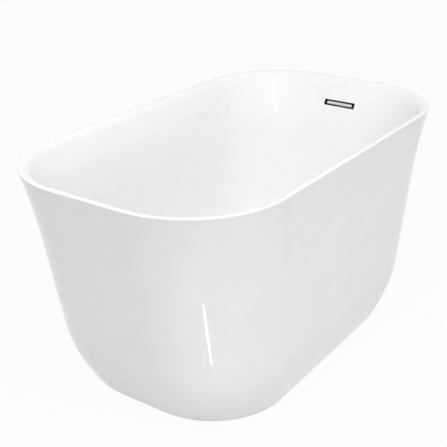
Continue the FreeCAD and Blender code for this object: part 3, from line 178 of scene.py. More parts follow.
class Finishes(bpy.types.PropertyGroup):
    """Colours of the materials"""
    acrylic: colour("Acrylic", "Polished white sheet", "#F4F3F2")
    glass_fibre: colour("Glass fibre", "Sprayed strands in resin", "#CFD3C4")
    adhesive: colour("Seam adhesive", "White acrylic adhesive", "#EFEFEC")
    plywood: colour("Plywood", "Raw birch plywood", "#C6A273")
    powder_coat: colour("Powder coat", "Black coating of the frame", "#232425")
    zinc: colour("Zinc", "Bright zinc plating", "#B9BCBE")
    polyamide: colour("Foot plastic", "Black moulded feet and caps", "#1E1E1F")
    chrome: colour("Chrome", "Polished chrome plating", "#D6D8DA")
    # The overflow trim's deep black is painted shade, standing in for the dark shadow gap round its blade.
    black_plastic: colour("Black plastic", "Glossy black frame of the overflow", "#131314")
    brass: colour("Brass", "Turned brass", "#C9A45C")
    steel: colour("Stainless steel", "Plain stainless steel", "#B4B4B1")
    rubber: colour("Rubber", "Black moulded rubber", "#1A1A1A")
    white_plastic: colour("White plastic", "Moulded polypropylene", "#E3E2DD")
    hose_plastic: colour("Hose plastic", "Grey corrugated polypropylene", "#A6A8AA")
    floor: colour("Floor", "Studio floor", "#DADADA")


class StudioSettings(bpy.types.PropertyGroup):
    """Camera and light"""
    azimuth: lean("Azimuth", "Direction of the camera round the tub", 55.5406)
    elevation: lean("Elevation", "Height angle of the camera", 23.9633)
    distance: size("Distance", "Distance from the tub's middle", 2401.186)
    focal_pixels: FloatProperty(name="Focal length", description="In image pixels", default=888.676)
    middle_u: FloatProperty(name="Middle across", description="Image column of the tub's middle",
                            default=241.686)
    middle_v: FloatProperty(name="Middle down", description="Image row of the tub's middle", default=233.252)
    sky: FloatProperty(name="Sky", description="Strength of the all-round light", default=0.55, min=0.0)
    lamp_share: FloatProperty(name="Lamps", description="Share of each lamp's power", default=1.0, min=0.0)
    floor_glow: FloatProperty(name="Floor glow", description="Share of pure white in the floor that is seen",
                              default=0.94, min=0.0, max=1.0)


# Node trees

MATH = "ShaderNodeMath"
VECTOR_MATH = "ShaderNodeVectorMath"
COMBINE = "ShaderNodeCombineXYZ"
SEPARATE = "ShaderNodeSeparateXYZ"
OBJECT_INFO = "GeometryNodeObjectInfo"


def add_node(tree, kind, inputs=(), **settings):
    """Add a node with its settings, and set its inputs by order or name, or link them to what is given."""
    node = tree.nodes.new(kind)
    for name, setting in settings.items():
        setattr(node, name, setting)
    for name, given in inputs.items() if isinstance(inputs, dict) else enumerate(inputs):
        if isinstance(given, bpy.types.Node):
            given = given.outputs[0]
        if isinstance(given, bpy.types.NodeSocket):
            tree.links.new(given, node.inputs[name])
        else:
            node.inputs[name].default_value = given
    return node


def geometry_tree(name, sockets):
    """Empty geometry tree with its named inputs, and its input and output nodes."""
    tree = bpy.data.node_groups.new(name, "GeometryNodeTree")
    tree.interface.new_socket("Geometry", in_out="INPUT", socket_type="NodeSocketGeometry")
    tree.interface.new_socket("Geometry", in_out="OUTPUT", socket_type="NodeSocketGeometry")
    for label, kind in sockets.items():
        tree.interface.new_socket(label, in_out="INPUT", socket_type="NodeSocket" + kind)
    return tree, tree.nodes.new("NodeGroupInput"), tree.nodes.new("NodeGroupOutput")


def end_tree(tree, given, output, geometry):
    """Close a geometry tree with real geometry and its material."""
    real = add_node(tree, "GeometryNodeRealizeInstances", {"Geometry": geometry})
    painted = add_node(tree, "GeometryNodeSetMaterial", {
        "Geometry": real, "Material": given.outputs["Material"]})
    tree.links.new(painted.outputs["Geometry"], output.inputs["Geometry"])
    return tree


def end_skin(tree, given, output, grid, place):
    """Move a grid's points to their places, weld its seam and poles, and close the tree."""
    moved = add_node(tree, "GeometryNodeSetPosition", {"Geometry": grid, "Position": place})
    welded = add_node(tree, "GeometryNodeMergeByDistance", {
        "Geometry": moved, "Distance": given.outputs["Weld"]})
    return end_tree(tree, given, output, welded)


def cell_of_grid(tree, given):
    """Grid of rows and columns, with the row and column of each of its points."""
    rows, columns = given.outputs["Rows"], given.outputs["Columns"]
    grid = add_node(tree, "GeometryNodeMeshGrid", {"Vertices X": rows, "Vertices Y": columns})
    index = add_node(tree, "GeometryNodeInputIndex")
    row, column = (add_node(tree, "FunctionNodeIntegerMath", (index, columns), operation=way)
                   for way in ("DIVIDE", "MODULO"))
    return grid, row, column


def sample(tree, geometry, index, attribute=None, kind="FLOAT"):
    """Attribute, or position, of one point of a geometry."""
    if attribute is None:
        field, kind = add_node(tree, "GeometryNodeInputPosition"), "FLOAT_VECTOR"
    else:
        field = add_node(tree, "GeometryNodeInputNamedAttribute", {"Name": attribute}, data_type=kind)
    return add_node(tree, "GeometryNodeSampleIndex", {"Geometry": geometry, "Value": field, "Index": index},
                    data_type=kind)


def lofted_shell_tree():
    """Skin over rounded rectangles: one row for each section, one column for each point of the outline."""
    tree, given, output = geometry_tree("Lofted shell", {
        "Sections": "Object", "Outline": "Object", "Rows": "Int", "Columns": "Int", "Weld": "Float",
        "Material": "Material"})
    grid, row, column = cell_of_grid(tree, given)
    sections, outline = (add_node(tree, OBJECT_INFO, {"Object": given.outputs[label]}).outputs["Geometry"]
                         for label in ("Sections", "Outline"))
    half_length, half_width, height = add_node(tree, SEPARATE, (sample(tree, sections, row),)).outputs
    corner = sample(tree, sections, row, "corner_radius")
    side_x, side_y, angle = add_node(tree, SEPARATE, (sample(tree, outline, column),)).outputs
    places = []
    for half, side, turn in ((half_length, side_x, "COSINE"), (half_width, side_y, "SINE")):
        straight = add_node(tree, MATH, (half, corner), operation="SUBTRACT")
        centre = add_node(tree, MATH, (straight, side), operation="MULTIPLY")
        direction = add_node(tree, MATH, (angle,), operation=turn)
        places.append(add_node(tree, MATH, (direction, corner, centre), operation="MULTIPLY_ADD"))
    return end_skin(tree, given, output, grid, add_node(tree, COMBINE, (*places, height)))


def swept_ring_tree():
    """Skin over rings: each row is a circle about a point, square to its route, with ribs round it."""
    tree, given, output = geometry_tree("Swept rings", {
        "Rings": "Object", "Rows": "Int", "Columns": "Int", "Ribs": "Int", "Weld": "Float",
        "Material": "Material"})
    grid, row, column = cell_of_grid(tree, given)
    rings = add_node(tree, OBJECT_INFO, {"Object": given.outputs["Rings"]}).outputs["Geometry"]
    faces = add_node(tree, MATH, (given.outputs["Columns"], 1.0), operation="SUBTRACT")
    share = add_node(tree, MATH, (column, faces), operation="DIVIDE")
    angle = add_node(tree, MATH, (share, FULL_TURN), operation="MULTIPLY")
    phase = add_node(tree, MATH, (angle, given.outputs["Ribs"]), operation="MULTIPLY")
    wave = add_node(tree, MATH, (phase,), operation="COSINE")
    rib, plain_radius = sample(tree, rings, row, "rib"), sample(tree, rings, row, "radius")
    radius = add_node(tree, MATH, (wave, rib, plain_radius), operation="MULTIPLY_ADD")
    parts = (add_node(tree, MATH, (angle,), operation=turn) for turn in ("COSINE", "SINE"))
    along_normal, along_y = (add_node(tree, MATH, (radius, part), operation="MULTIPLY") for part in parts)
    normal = sample(tree, rings, row, "normal", "FLOAT_VECTOR")
    across = add_node(tree, VECTOR_MATH, {0: normal, "Scale": along_normal}, operation="SCALE")
    sideways = add_node(tree, COMBINE, {"Y": along_y})
    offset = add_node(tree, VECTOR_MATH, (across, sideways), operation="ADD")
    place = add_node(tree, VECTOR_MATH, (sample(tree, rings, row), offset), operation="ADD")
    return end_skin(tree, given, output, grid, place)


def thread_tree():
    """Upright rod with a screw thread rolled into it. Both its ends taper to the thread's root."""
    tree, given, output = geometry_tree("Threaded rod", {
        "Radius": "Float", "Length": "Float", "Pitch": "Float", "Depth": "Float", "Runout": "Float",
        "Columns": "Int", "Rows": "Int", "Material": "Material"})
    radius, length, deepest = (given.outputs[label] for label in ("Radius", "Length", "Depth"))
    rod = add_node(tree, "GeometryNodeMeshCylinder", {
        "Vertices": given.outputs["Columns"], "Side Segments": given.outputs["Rows"], "Radius": radius,
        "Depth": length})
    x, y, z = add_node(tree, SEPARATE, (add_node(tree, "GeometryNodeInputPosition"),)).outputs
    angle = add_node(tree, MATH, (y, x), operation="ARCTAN2")
    turns = add_node(tree, MATH, (angle, FULL_TURN), operation="DIVIDE")
    pitches = add_node(tree, MATH, (z, given.outputs["Pitch"]), operation="DIVIDE")
    phase = add_node(tree, MATH, (pitches, turns), operation="SUBTRACT")
    half_groove = add_node(tree, MATH, (phase, 0.5), operation="PINGPONG")
    groove = add_node(tree, MATH, (half_groove, 2.0), operation="MULTIPLY")
    depth = add_node(tree, MATH, (groove, deepest), operation="MULTIPLY")
    half = add_node(tree, MATH, (length, 0.5), operation="MULTIPLY")
    from_middle = add_node(tree, MATH, (z,), operation="ABSOLUTE")
    to_end = add_node(tree, MATH, (half, from_middle), operation="SUBTRACT")
    runouts = add_node(tree, MATH, (to_end, given.outputs["Runout"]), operation="DIVIDE")
    kept = add_node(tree, MATH, (runouts, 1.0), operation="MINIMUM")
    faded = add_node(tree, MATH, (1.0, kept), operation="SUBTRACT")
    grooved = add_node(tree, MATH, (depth, kept), operation="MULTIPLY")
    tapered = add_node(tree, MATH, (faded, deepest, grooved), operation="MULTIPLY_ADD")
    lost = add_node(tree, MATH, (tapered, radius), operation="DIVIDE")
    share = add_node(tree, MATH, (1.0, lost), operation="SUBTRACT")
    across, along = (add_node(tree, MATH, (part, share), operation="MULTIPLY") for part in (x, y))
    place = add_node(tree, COMBINE, (across, along, z))
    moved = add_node(tree, "GeometryNodeSetPosition", {"Geometry": rod.outputs["Mesh"], "Position": place})
    return end_tree(tree, given, output, moved)


def placed_tree():
    """Copies of one fastener on points, each turned by the point's own angles."""
    tree, given, output = geometry_tree("Placed fasteners", {
        "Places": "Object", "Fastener": "Object", "Material": "Material"})
    turn = add_node(tree, "GeometryNodeInputNamedAttribute", {"Name": "turn"}, data_type="FLOAT_VECTOR")
    rotation = add_node(tree, "FunctionNodeEulerToRotation", (turn,))
    places, fastener = (add_node(tree, OBJECT_INFO, {"Object": given.outputs[label]}).outputs["Geometry"]
                        for label in ("Places", "Fastener"))
    points = add_node(tree, "GeometryNodeMeshToPoints", {"Mesh": places})
    copies = add_node(tree, "GeometryNodeInstanceOnPoints", {
        "Points": points, "Instance": fastener, "Rotation": rotation})
    return end_tree(tree, given, output, copies)


# Objects from trees and meshes

def link(name, mesh):
    piece = bpy.data.objects.new(name, mesh)
    bpy.context.scene.collection.objects.link(piece)
    return piece


def helper(name, points, **attributes):
    """Loose points that a tree reads, with their attributes."""
    mesh = bpy.data.meshes.new(name)
    mesh.from_pydata([Vector(point) for point in points], [], [])
    for label, values in attributes.items():
        vector = isinstance(values[0], (tuple, list, Vector))
        layer = mesh.attributes.new(label, "FLOAT_VECTOR" if vector else "FLOAT", "POINT")
        flat = [number for value in values for number in value] if vector else list(values)
        layer.data.foreach_set("vector" if vector else "value", flat)
    return link(name, mesh)


def grown(name, tree, **inputs):
    """Plain mesh object that a tree makes from its named inputs."""
    holder = link(name + "_holder", bpy.data.meshes.new(name))
    modifier = holder.modifiers.new("grow", "NODES")
    modifier.node_group = tree
    sockets = {item.name: item.identifier for item in tree.interface.items_tree if item.in_out == "INPUT"}
    for label, value in inputs.items():
        modifier[sockets[label]] = value
    piece = plain(name, holder)
    bpy.data.objects.remove(holder)
    for value in inputs.values():
        if isinstance(value, bpy.types.Object):
            bpy.data.objects.remove(value)
    return piece


def plain(name, holder):
    """New object with the evaluated mesh of another, free of modifiers."""
    bpy.context.view_layer.update()
    evaluated = holder.evaluated_get(bpy.context.evaluated_depsgraph_get())
    mesh = bpy.data.meshes.new_from_object(evaluated)
    mesh.name = name
    return link(name, mesh)


def face_outwards(piece):
    """Turn a closed mesh's faces to its outside."""
    shape = bmesh.new()
    shape.from_mesh(piece.data)
    bmesh.ops.recalc_face_normals(shape, faces=shape.faces)
    if shape.calc_volume(signed=True) < 0:
        bmesh.ops.reverse_faces(shape, faces=shape.faces)
    shape.to_mesh(piece.data)
    shape.free()
    return piece


def smooth(piece, degrees=SHELL_CREASE):
    """Smooth shading, with a crease at each edge sharper than the angle."""
    piece.data.polygons.foreach_set("use_smooth", [True] * len(piece.data.polygons))
    piece.data.set_sharp_from_angle(angle=math.radians(degrees))
    return piece


def cut_away(piece, cutters):
    """Take closed meshes away from a piece."""
    for cutter in cutters:
        modifier = piece.modifiers.new("cut", "BOOLEAN")
        modifier.operation = "DIFFERENCE"
        modifier.solver = "EXACT"
        modifier.object = cutter
    result = plain(piece.name + "_cut", piece)
    name = piece.name
    bpy.data.objects.remove(piece)
    for cutter in cutters:
        bpy.data.objects.remove(cutter)
    result.name = name
    return result


def middle(node):
    """Centre of a node's box."""
    low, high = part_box(node)
    return (low + high) / 2


def islands(node):
    """Boxes of the separate solids in a node, as lowest and highest corners."""
    shape = bmesh.new()
    shape.from_mesh(frame["nodes"][node].data)
    bmesh.ops.remove_doubles(shape, verts=shape.verts, dist=SOLID_WELD)
    left, boxes = set(shape.verts), []
    while left:
        group, edge = set(), [left.pop()]
        while edge:
            vertex = edge.pop()
            group.add(vertex)
            for near in vertex.link_edges:
                other = near.other_vert(vertex)
                if other in left:
                    left.remove(other)
                    edge.append(other)
        places = [vertex.co for vertex in group]
        boxes.append(tuple(Vector(pick(place[axis] for place in places) for axis in range(3))
                           for pick in (min, max)))
    shape.free()
    return sorted(boxes, key=lambda box: tuple(box[0]))


# Materials

NOISE = "ShaderNodeTexNoise"
MAPPING = "ShaderNodeMapping"
MAP_RANGE = "ShaderNodeMapRange"
# Most of a noise texture's values lie between these two.
NOISE_RANGE = (0.3, 0.7)


def new_material(name, **uniform):
    """Node material, its tree, its shader with the values that are the same all over, and the place on it."""
    material = bpy.data.materials.new(name)
    material.use_nodes = True
    tree = material.node_tree
    shader = tree.nodes["Principled BSDF"]
    for socket, value in uniform.items():
        shader.inputs[socket.replace("_", " ")].default_value = value
    return material, tree, shader, add_node(tree, "ShaderNodeTexCoord").outputs["Object"]


def features(place, millimetres, detail=3.0, roughness=0.5):
    """Inputs of a noise texture with features of a real size."""
    return {"Vector": place, "Scale": 1 / (millimetres * MM), "Detail": detail, "Roughness": roughness}


def finish_surface(tree, shader, base, darkening, tone, roughness, dullness, depth, relief,
                   tone_range=NOISE_RANGE):
    """Dress a shader from three patterns.

    Its colour darkens by a share where the tone is high. Its roughness runs between two values with the
    dullness. Its surface rises with the relief, by a depth in millimetres.
    """
    dark = [channel * (1 - darkening) for channel in base[:3]] + [1.0]
    share = add_node(tree, MAP_RANGE, {"Value": tone, "From Min": tone_range[0], "From Max": tone_range[1]})
    mix = add_node(tree, "ShaderNodeMix", {0: share, 6: list(base), 7: dark}, data_type="RGBA")
    rough = add_node(tree, MAP_RANGE, {
        "Value": dullness, "From Min": NOISE_RANGE[0], "From Max": NOISE_RANGE[1], "To Min": roughness[0],
        "To Max": roughness[1]})
    bump = add_node(tree, "ShaderNodeBump", {"Height": relief, "Distance": depth * MM, "Strength": 1.0})
    tree.links.new(mix.outputs[2], shader.inputs["Base Color"])
    tree.links.new(rough.outputs["Result"], shader.inputs["Roughness"])
    tree.links.new(bump.outputs["Normal"], shader.inputs["Normal"])


def acrylic_material(paint):
    """Cast acrylic sheet, vacuum formed and polished.

    Deep gloss with slow waves from forming about 130 mm long, and faint duller patches where it was polished.
    """
    material, tree, shader, place = new_material("Cast acrylic polished white", IOR=1.49)
    patches = add_node(tree, NOISE, features(place, 60))
    polish = add_node(tree, NOISE, features(place, 18))
    waves = add_node(tree, NOISE, features(place, 130, detail=1.0))
    finish_surface(tree, shader, paint.acrylic, darkening=0.02, tone=patches,
                   roughness=(0.05, 0.085), dullness=polish, depth=0.25, relief=waves)
    return material


def glass_fibre_material(paint):
    """Chopped strands sprayed in polyester resin, then rolled.

    A rough, half-wet surface of crossing strands about 1 mm wide and 30 mm long.
    """
    material, tree, shader, place = new_material("Glass fibre chopped strand")
    along, across = (add_node(tree, MAPPING, {"Vector": place, "Scale": stretch})
                     for stretch in ((0.25, 1.0, 1.0), (1.0, 0.25, 0.4)))
    strands = add_node(tree, NOISE, features(along, 5, detail=2.0))
    crossing = add_node(tree, NOISE, features(across, 5, detail=2.0))
    apart = add_node(tree, MATH, (strands, crossing), operation="SUBTRACT")
    lines = add_node(tree, MATH, (apart,), operation="ABSOLUTE")
    lumps = add_node(tree, MATH, (lines, add_node(tree, NOISE, features(place, 12))), operation="ADD")
    finish_surface(tree, shader, paint.glass_fibre, darkening=0.3, tone=lines,
                   roughness=(0.35, 0.7), dullness=add_node(tree, NOISE, features(place, 25)),
                   depth=1.2, relief=lumps, tone_range=(0.0, 0.2))
    return material


def adhesive_material(paint):
    """Two-part acrylic adhesive, squeezed out and sanded flush: matt, with level sanding marks.

    The marks are 0.2 mm high and 1.2 mm long.
    """
    material, tree, shader, place = new_material("Acrylic adhesive sanded")
    upright = add_node(tree, MAPPING, {"Vector": place, "Scale": (1.0, 1.0, 6.0)})
    marks = add_node(tree, NOISE, features(upright, 1.2))
    finish_surface(tree, shader, paint.adhesive, darkening=0.05, tone=marks,
                   roughness=(0.35, 0.5), dullness=marks, depth=0.02, relief=marks)
    return material


def plywood_material(paint):
    """Birch plywood: long grain 4 mm wide on the faces, and darker glue lines every 3 mm down the edges."""
    material, tree, shader, place = new_material("Birch plywood")
    lengthwise = add_node(tree, MAPPING, {"Vector": place, "Scale": (0.06, 1.0, 1.0)})
    grain = add_node(tree, NOISE, features(lengthwise, 4, detail=6.0, roughness=0.6))
    slow = add_node(tree, MAPPING, {"Vector": place, "Scale": (0.4, 1.0, 1.0)})
    clouds = add_node(tree, NOISE, features(slow, 70))
    height = add_node(tree, SEPARATE, (place,)).outputs["Z"]
    half_ply, half_line, edge_slope = 1.5 * MM, 0.12 * MM, 0.5
    layer = add_node(tree, MATH, (height, half_ply), operation="PINGPONG")
    line = add_node(tree, MATH, (layer, half_line), operation="LESS_THAN")
    normal = add_node(tree, "ShaderNodeNewGeometry").outputs["Normal"]
    facing = add_node(tree, MATH, (add_node(tree, SEPARATE, (normal,)).outputs["Z"],), operation="ABSOLUTE")
    edge = add_node(tree, MATH, (facing, edge_slope), operation="LESS_THAN")
    glue = add_node(tree, MATH, (line, edge), operation="MULTIPLY")
    fine = add_node(tree, MATH, (grain, 0.6), operation="MULTIPLY")
    wood = add_node(tree, MATH, (clouds, 0.4, fine), operation="MULTIPLY_ADD")
    faded = add_node(tree, MAP_RANGE, {
        "Value": wood, "From Min": NOISE_RANGE[0], "From Max": NOISE_RANGE[1], "To Max": 0.8})
    tone = add_node(tree, MATH, (faded, glue), operation="MAXIMUM")
    finish_surface(tree, shader, paint.plywood, darkening=0.45, tone=tone,
                   roughness=(0.5, 0.75), dullness=grain, depth=0.12, relief=grain, tone_range=(0.0, 1.0))
    return material


def powder_coat_material(paint):
    """Polyester powder coat, baked: an orange peel about 0.8 mm across, drawn at 1.6 mm so that it shows."""
    material, tree, shader, place = new_material("Powder coat black")
    peel = add_node(tree, NOISE, features(place, 1.6, detail=1.0))
    dust = add_node(tree, NOISE, features(place, 45))
    finish_surface(tree, shader, paint.powder_coat, darkening=0.25, tone=dust,
                   roughness=(0.38, 0.52), dullness=dust, depth=0.06, relief=peel)
    return material


def zinc_material(paint):
    """Bright zinc plating, blue passivated: metal with cloudy patches about 8 mm across."""
    material, tree, shader, place = new_material("Zinc plated steel", Metallic=1.0)
    clouds = add_node(tree, NOISE, features(place, 8))
    speckle = add_node(tree, NOISE, features(place, 2.5))
    finish_surface(tree, shader, paint.zinc, darkening=0.22, tone=clouds,
                   roughness=(0.26, 0.42), dullness=speckle, depth=0.01, relief=clouds)
    return material


def polyamide_material(paint):
    """Glass-filled polyamide, injection moulded: black and satin.

    Its spark-eroded grain is about 0.5 mm, drawn at 0.9 mm so that it shows.
    """
    material, tree, shader, place = new_material("Polyamide moulded black")
    grain = add_node(tree, NOISE, features(place, 0.9, detail=1.0))
    flow = add_node(tree, NOISE, features(place, 14))
    finish_surface(tree, shader, paint.polyamide, darkening=0.3, tone=flow,
                   roughness=(0.42, 0.6), dullness=grain, depth=0.03, relief=grain)
    return material


def chrome_material(paint):
    """Chrome over polished nickel: a clear mirror, with a faint water film in patches of 12 mm."""
    material, tree, shader, place = new_material("Chrome polished", Metallic=1.0)
    film = add_node(tree, NOISE, features(place, 12))
    waves = add_node(tree, NOISE, features(place, 20, detail=1.0))
    finish_surface(tree, shader, paint.chrome, darkening=0.06, tone=film,
                   roughness=(0.04, 0.1), dullness=film, depth=0.02, relief=waves)
    return material


def trim_painted_shade_material(paint):
    """ABS, injection moulded in a polished tool: semi-gloss, with flow marks about 9 mm wide. Its deep black
    is painted shade for the dark shadow gap round the overflow's blade.
    """
    material, tree, shader, place = new_material("ABS moulded black")
    flow = add_node(tree, NOISE, features(place, 9))
    skin = add_node(tree, NOISE, features(place, 1.1, detail=1.0))
    finish_surface(tree, shader, paint.black_plastic, darkening=0.3, tone=flow,
                   roughness=(0.16, 0.26), dullness=flow, depth=0.01, relief=skin)
    return material


def brass_material(paint):
    """Free-cutting brass, turned: tool rings 0.3 mm apart up the axis, drawn as soft bands of 0.8 mm."""
    material, tree, shader, place = new_material("Brass turned", Metallic=1.0)
    round_axis = add_node(tree, MAPPING, {"Vector": place, "Scale": (0.05, 0.05, 1.0)})
    rings = add_node(tree, NOISE, features(round_axis, 0.8, detail=1.0))
    finish_surface(tree, shader, paint.brass, darkening=0.18, tone=rings,
                   roughness=(0.2, 0.34), dullness=rings, depth=0.02, relief=rings)
    return material


def steel_material(paint):
    """Stainless steel strip and wire, drawn: a satin sheen, and lines about 0.1 mm wide.

    They are drawn 0.7 mm wide so that they show.
    """
    material, tree, shader, place = new_material("Stainless steel drawn", Metallic=1.0)
    along = add_node(tree, MAPPING, {"Vector": place, "Scale": (1.0, 0.1, 1.0)})
    lines = add_node(tree, NOISE, features(along, 0.7, detail=2.0))
    finish_surface(tree, shader, paint.steel, darkening=0.15, tone=lines,
                   roughness=(0.24, 0.38), dullness=lines, depth=0.01, relief=lines)
    return material


def rubber_material(paint):
    """Moulded EPDM rubber: dull black with a pale bloom in patches about 6 mm across."""
    material, tree, shader, place = new_material("Rubber moulded")
    bloom = add_node(tree, NOISE, features(place, 6))
    skin = add_node(tree, NOISE, features(place, 0.8))
    paleness = 1.5
    bloomed = [channel * paleness for channel in paint.rubber[:3]] + [1.0]
    finish_surface(tree, shader, bloomed, darkening=0.4, tone=bloom,
                   roughness=(0.7, 0.85), dullness=bloom, depth=0.04, relief=skin)
    return material


def white_plastic_material(paint):
    """Polypropylene, injection moulded: waxy off-white, with slow flow marks and a tool grain of 0.8 mm."""
    material, tree, shader, place = new_material("Polypropylene white")
    flow = add_node(tree, NOISE, features(place, 22))
    grain = add_node(tree, NOISE, features(place, 0.8, detail=1.0))
    finish_surface(tree, shader, paint.white_plastic, darkening=0.07, tone=flow,
                   roughness=(0.34, 0.48), dullness=flow, depth=0.02, relief=grain)
    return material


def hose_plastic_material(paint):
    """Polypropylene hose, blow moulded: grey and satin, with slow flow marks and a grain of 1.5 mm."""
    material, tree, shader, place = new_material("Polypropylene hose grey")
    flow = add_node(tree, NOISE, features(place, 16))
    grain = add_node(tree, NOISE, features(place, 1.5))
    finish_surface(tree, shader, paint.hose_plastic, darkening=0.12, tone=flow,
                   roughness=(0.38, 0.52), dullness=flow, depth=0.03, relief=grain)
    return material


MATERIALS = {
    "acrylic": acrylic_material,
    "glass_fibre": glass_fibre_material,
    "seam_adhesive": adhesive_material,
    "plywood": plywood_material,
    "powder_coated_steel": powder_coat_material,
    "zinc_plated_steel": zinc_material,
    "foot_plastic": polyamide_material,
    "chrome": chrome_material,
    # The black plastic slot dresses the overflow trim in black, as painted shade for the shadow gap round the
    # blade.
    "black_plastic": trim_painted_shade_material,
    "brass": brass_material,
    "stainless_steel": steel_material,
    "rubber": rubber_material,
    "waste_plastic": white_plastic_material,
    "hose_plastic": hose_plastic_material,
}
SLOT_OF = {subpart["node"]: subpart["material_slot"] for subpart in frame["record"]["subparts"]}
made = {}


def material_for(slot):
    """Material of a slot, made once."""
    if slot not in made:
        made[slot] = MATERIALS[slot](bpy.context.scene.bathtub_finishes)
    return made[slot]


def dress_as(piece, *nodes):
    """Give a finished piece the material, the slot and the body of the nodes that it stands for."""
    slot = SLOT_OF[nodes[0]]
    piece.data.materials.clear()
    piece.data.materials.append(material_for(slot))
    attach(piece, frame["nodes"][nodes[0]]["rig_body"])
    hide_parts(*nodes)
    return piece


# Profiles of the two shells

def arc(top, low, lean_top, lean_low, start):
    """Radius, centre inset and centre height of a wall's arc between two leans."""
    radius = (top - low) / (math.sin(lean_low) - math.sin(lean_top))
    return radius, start + radius * math.cos(lean_top), top + radius * math.sin(lean_top)


def on_arc(curve, height):
    radius, centre, level = curve
    return centre - math.copysign(math.sqrt(radius ** 2 - (height - level) ** 2), radius)


def eased(curve, plane, easing, height):
    """Inset on the rounding between an arc and a level plane, or on the arc beyond it."""
    radius, centre, level = curve
    way = math.copysign(1, radius)
    reach = abs(radius) - easing
    turn_height = plane + way * easing
    turn = centre - way * math.sqrt(reach ** 2 - (turn_height - level) ** 2)
    touch = level + (turn_height - level) * abs(radius) / reach
    if (height - touch) * way > 0:
        return on_arc(curve, height)
    return turn - way * math.sqrt(max(easing ** 2 - (height - turn_height) ** 2, 0.0))


class SkirtFace:
    """Inset of the skirt's end or side from the rim's outline."""

    def __init__(self, tub, face):
        self.wall_lean = getattr(tub, face + "_wall_lean")
        self.flare_lean = getattr(tub, face + "_flare_lean")
        self.flare_end = tub.height - tub.flare_depth
        self.rounding_top = tub.rounding_height
        self.flare = arc(tub.height, self.flare_end, self.flare_lean, self.wall_lean, 0.0)
        self.rounding = arc(self.rounding_top, 0.0, self.wall_lean, getattr(tub, face + "_base_lean"),
                            self.straight(self.rounding_top))

    def straight(self, height):
        return on_arc(self.flare, self.flare_end) + (self.flare_end - height) * math.tan(self.wall_lean)

    def inset(self, height):
        if height >= self.flare_end:
            return on_arc(self.flare, height)
        if height >= self.rounding_top:
            return self.straight(height)
        return on_arc(self.rounding, height)

    def footed(self, height, plane, easing):
        """Inset with the rounding of the foot."""
        if height >= self.rounding_top:
            return self.inset(height)
        return eased(self.rounding, plane, easing, height)

    def edged(self, height, top, easing):
        """Inset with the rounding of the rim's outer edge."""
        sine = math.sin(self.flare_lean)
        if height <= top - easing * (1 + sine):
            return self.inset(height)
        rise = height - (top - easing)
        return easing * (1 + sine) / math.cos(self.flare_lean) - math.sqrt(max(easing ** 2 - rise ** 2, 0.0))


class WellFace:
    """Inset of the well's end or side from the rim's outline, moved outwards by a wall."""

    def __init__(self, tub, face, wall=0.0):
        self.lean = getattr(tub, face + "_well_lean")
        self.bend_end = tub.height - tub.well_bend
        self.bend = arc(tub.height, self.bend_end, getattr(tub, face + "_well_top_lean"), self.lean,
                        getattr(tub, face + "_rim") - wall)

    def inset(self, height):
        if height >= self.bend_end:
            return on_arc(self.bend, height)
        return on_arc(self.bend, self.bend_end) + (self.bend_end - height) * math.tan(self.lean)

    def rolled(self, height, plane, easing):
        """Inset with the rounding at the rim."""
        return self.inset(height) if height < self.bend_end else eased(self.bend, plane, easing, height)

    def floored(self, height, plane, easing):
        """Inset with the rounding at the floor."""
        run = easing * (1 - math.sin(self.lean)) / math.cos(self.lean)
        touch = (easing * math.cos(self.lean) - run * math.sin(self.lean)) * math.cos(self.lean)
        rise = height - plane
        if rise >= touch:
            return self.inset(height)
        return self.inset(plane) + run - math.sqrt(max(easing ** 2 - (easing - rise) ** 2, 0.0))


def steps(start, stop, count):
    """Evenly spread numbers from start to stop, both included."""
    return [start + (stop - start) * i / count for i in range(count + 1)]


def around(plane, easing, count, way, part=1.0):
    """Heights on a rounding at even angles, from the plane away."""
    return [plane + way * easing * (1 - math.cos(part * QUARTER * i / count)) for i in range(count + 1)]


# Rows of faces down the skirt: on its flare, its wall, its curved base and its foot's rounding
FLARE_ROWS = 12
SKIRT_WALL_ROWS = 8
BASE_ROWS = 10
FOOT_ROWS = 9
# Rows of faces in the well: on its floor, the floor's rounding, its wall and its bend
POLE_ROWS = 3
FLOOR_EDGE_ROWS = 16
WELL_WALL_ROWS = 12
WELL_BEND_ROWS = 12
# Rows of faces on the rim: the roll into the well, its outer edge and the rounding under it
RIM_ROLL_ROWS = 24
RIM_EDGE_ROWS = 5
RIM_UNDER_ROWS = 10
# The floor's rounding has this share of a quarter turn, since the walls lean.
FLOOR_EDGE_SHARE = 0.93
# The rim's outer face starts this many edge radii down.
RIM_FACE_START = 1.4


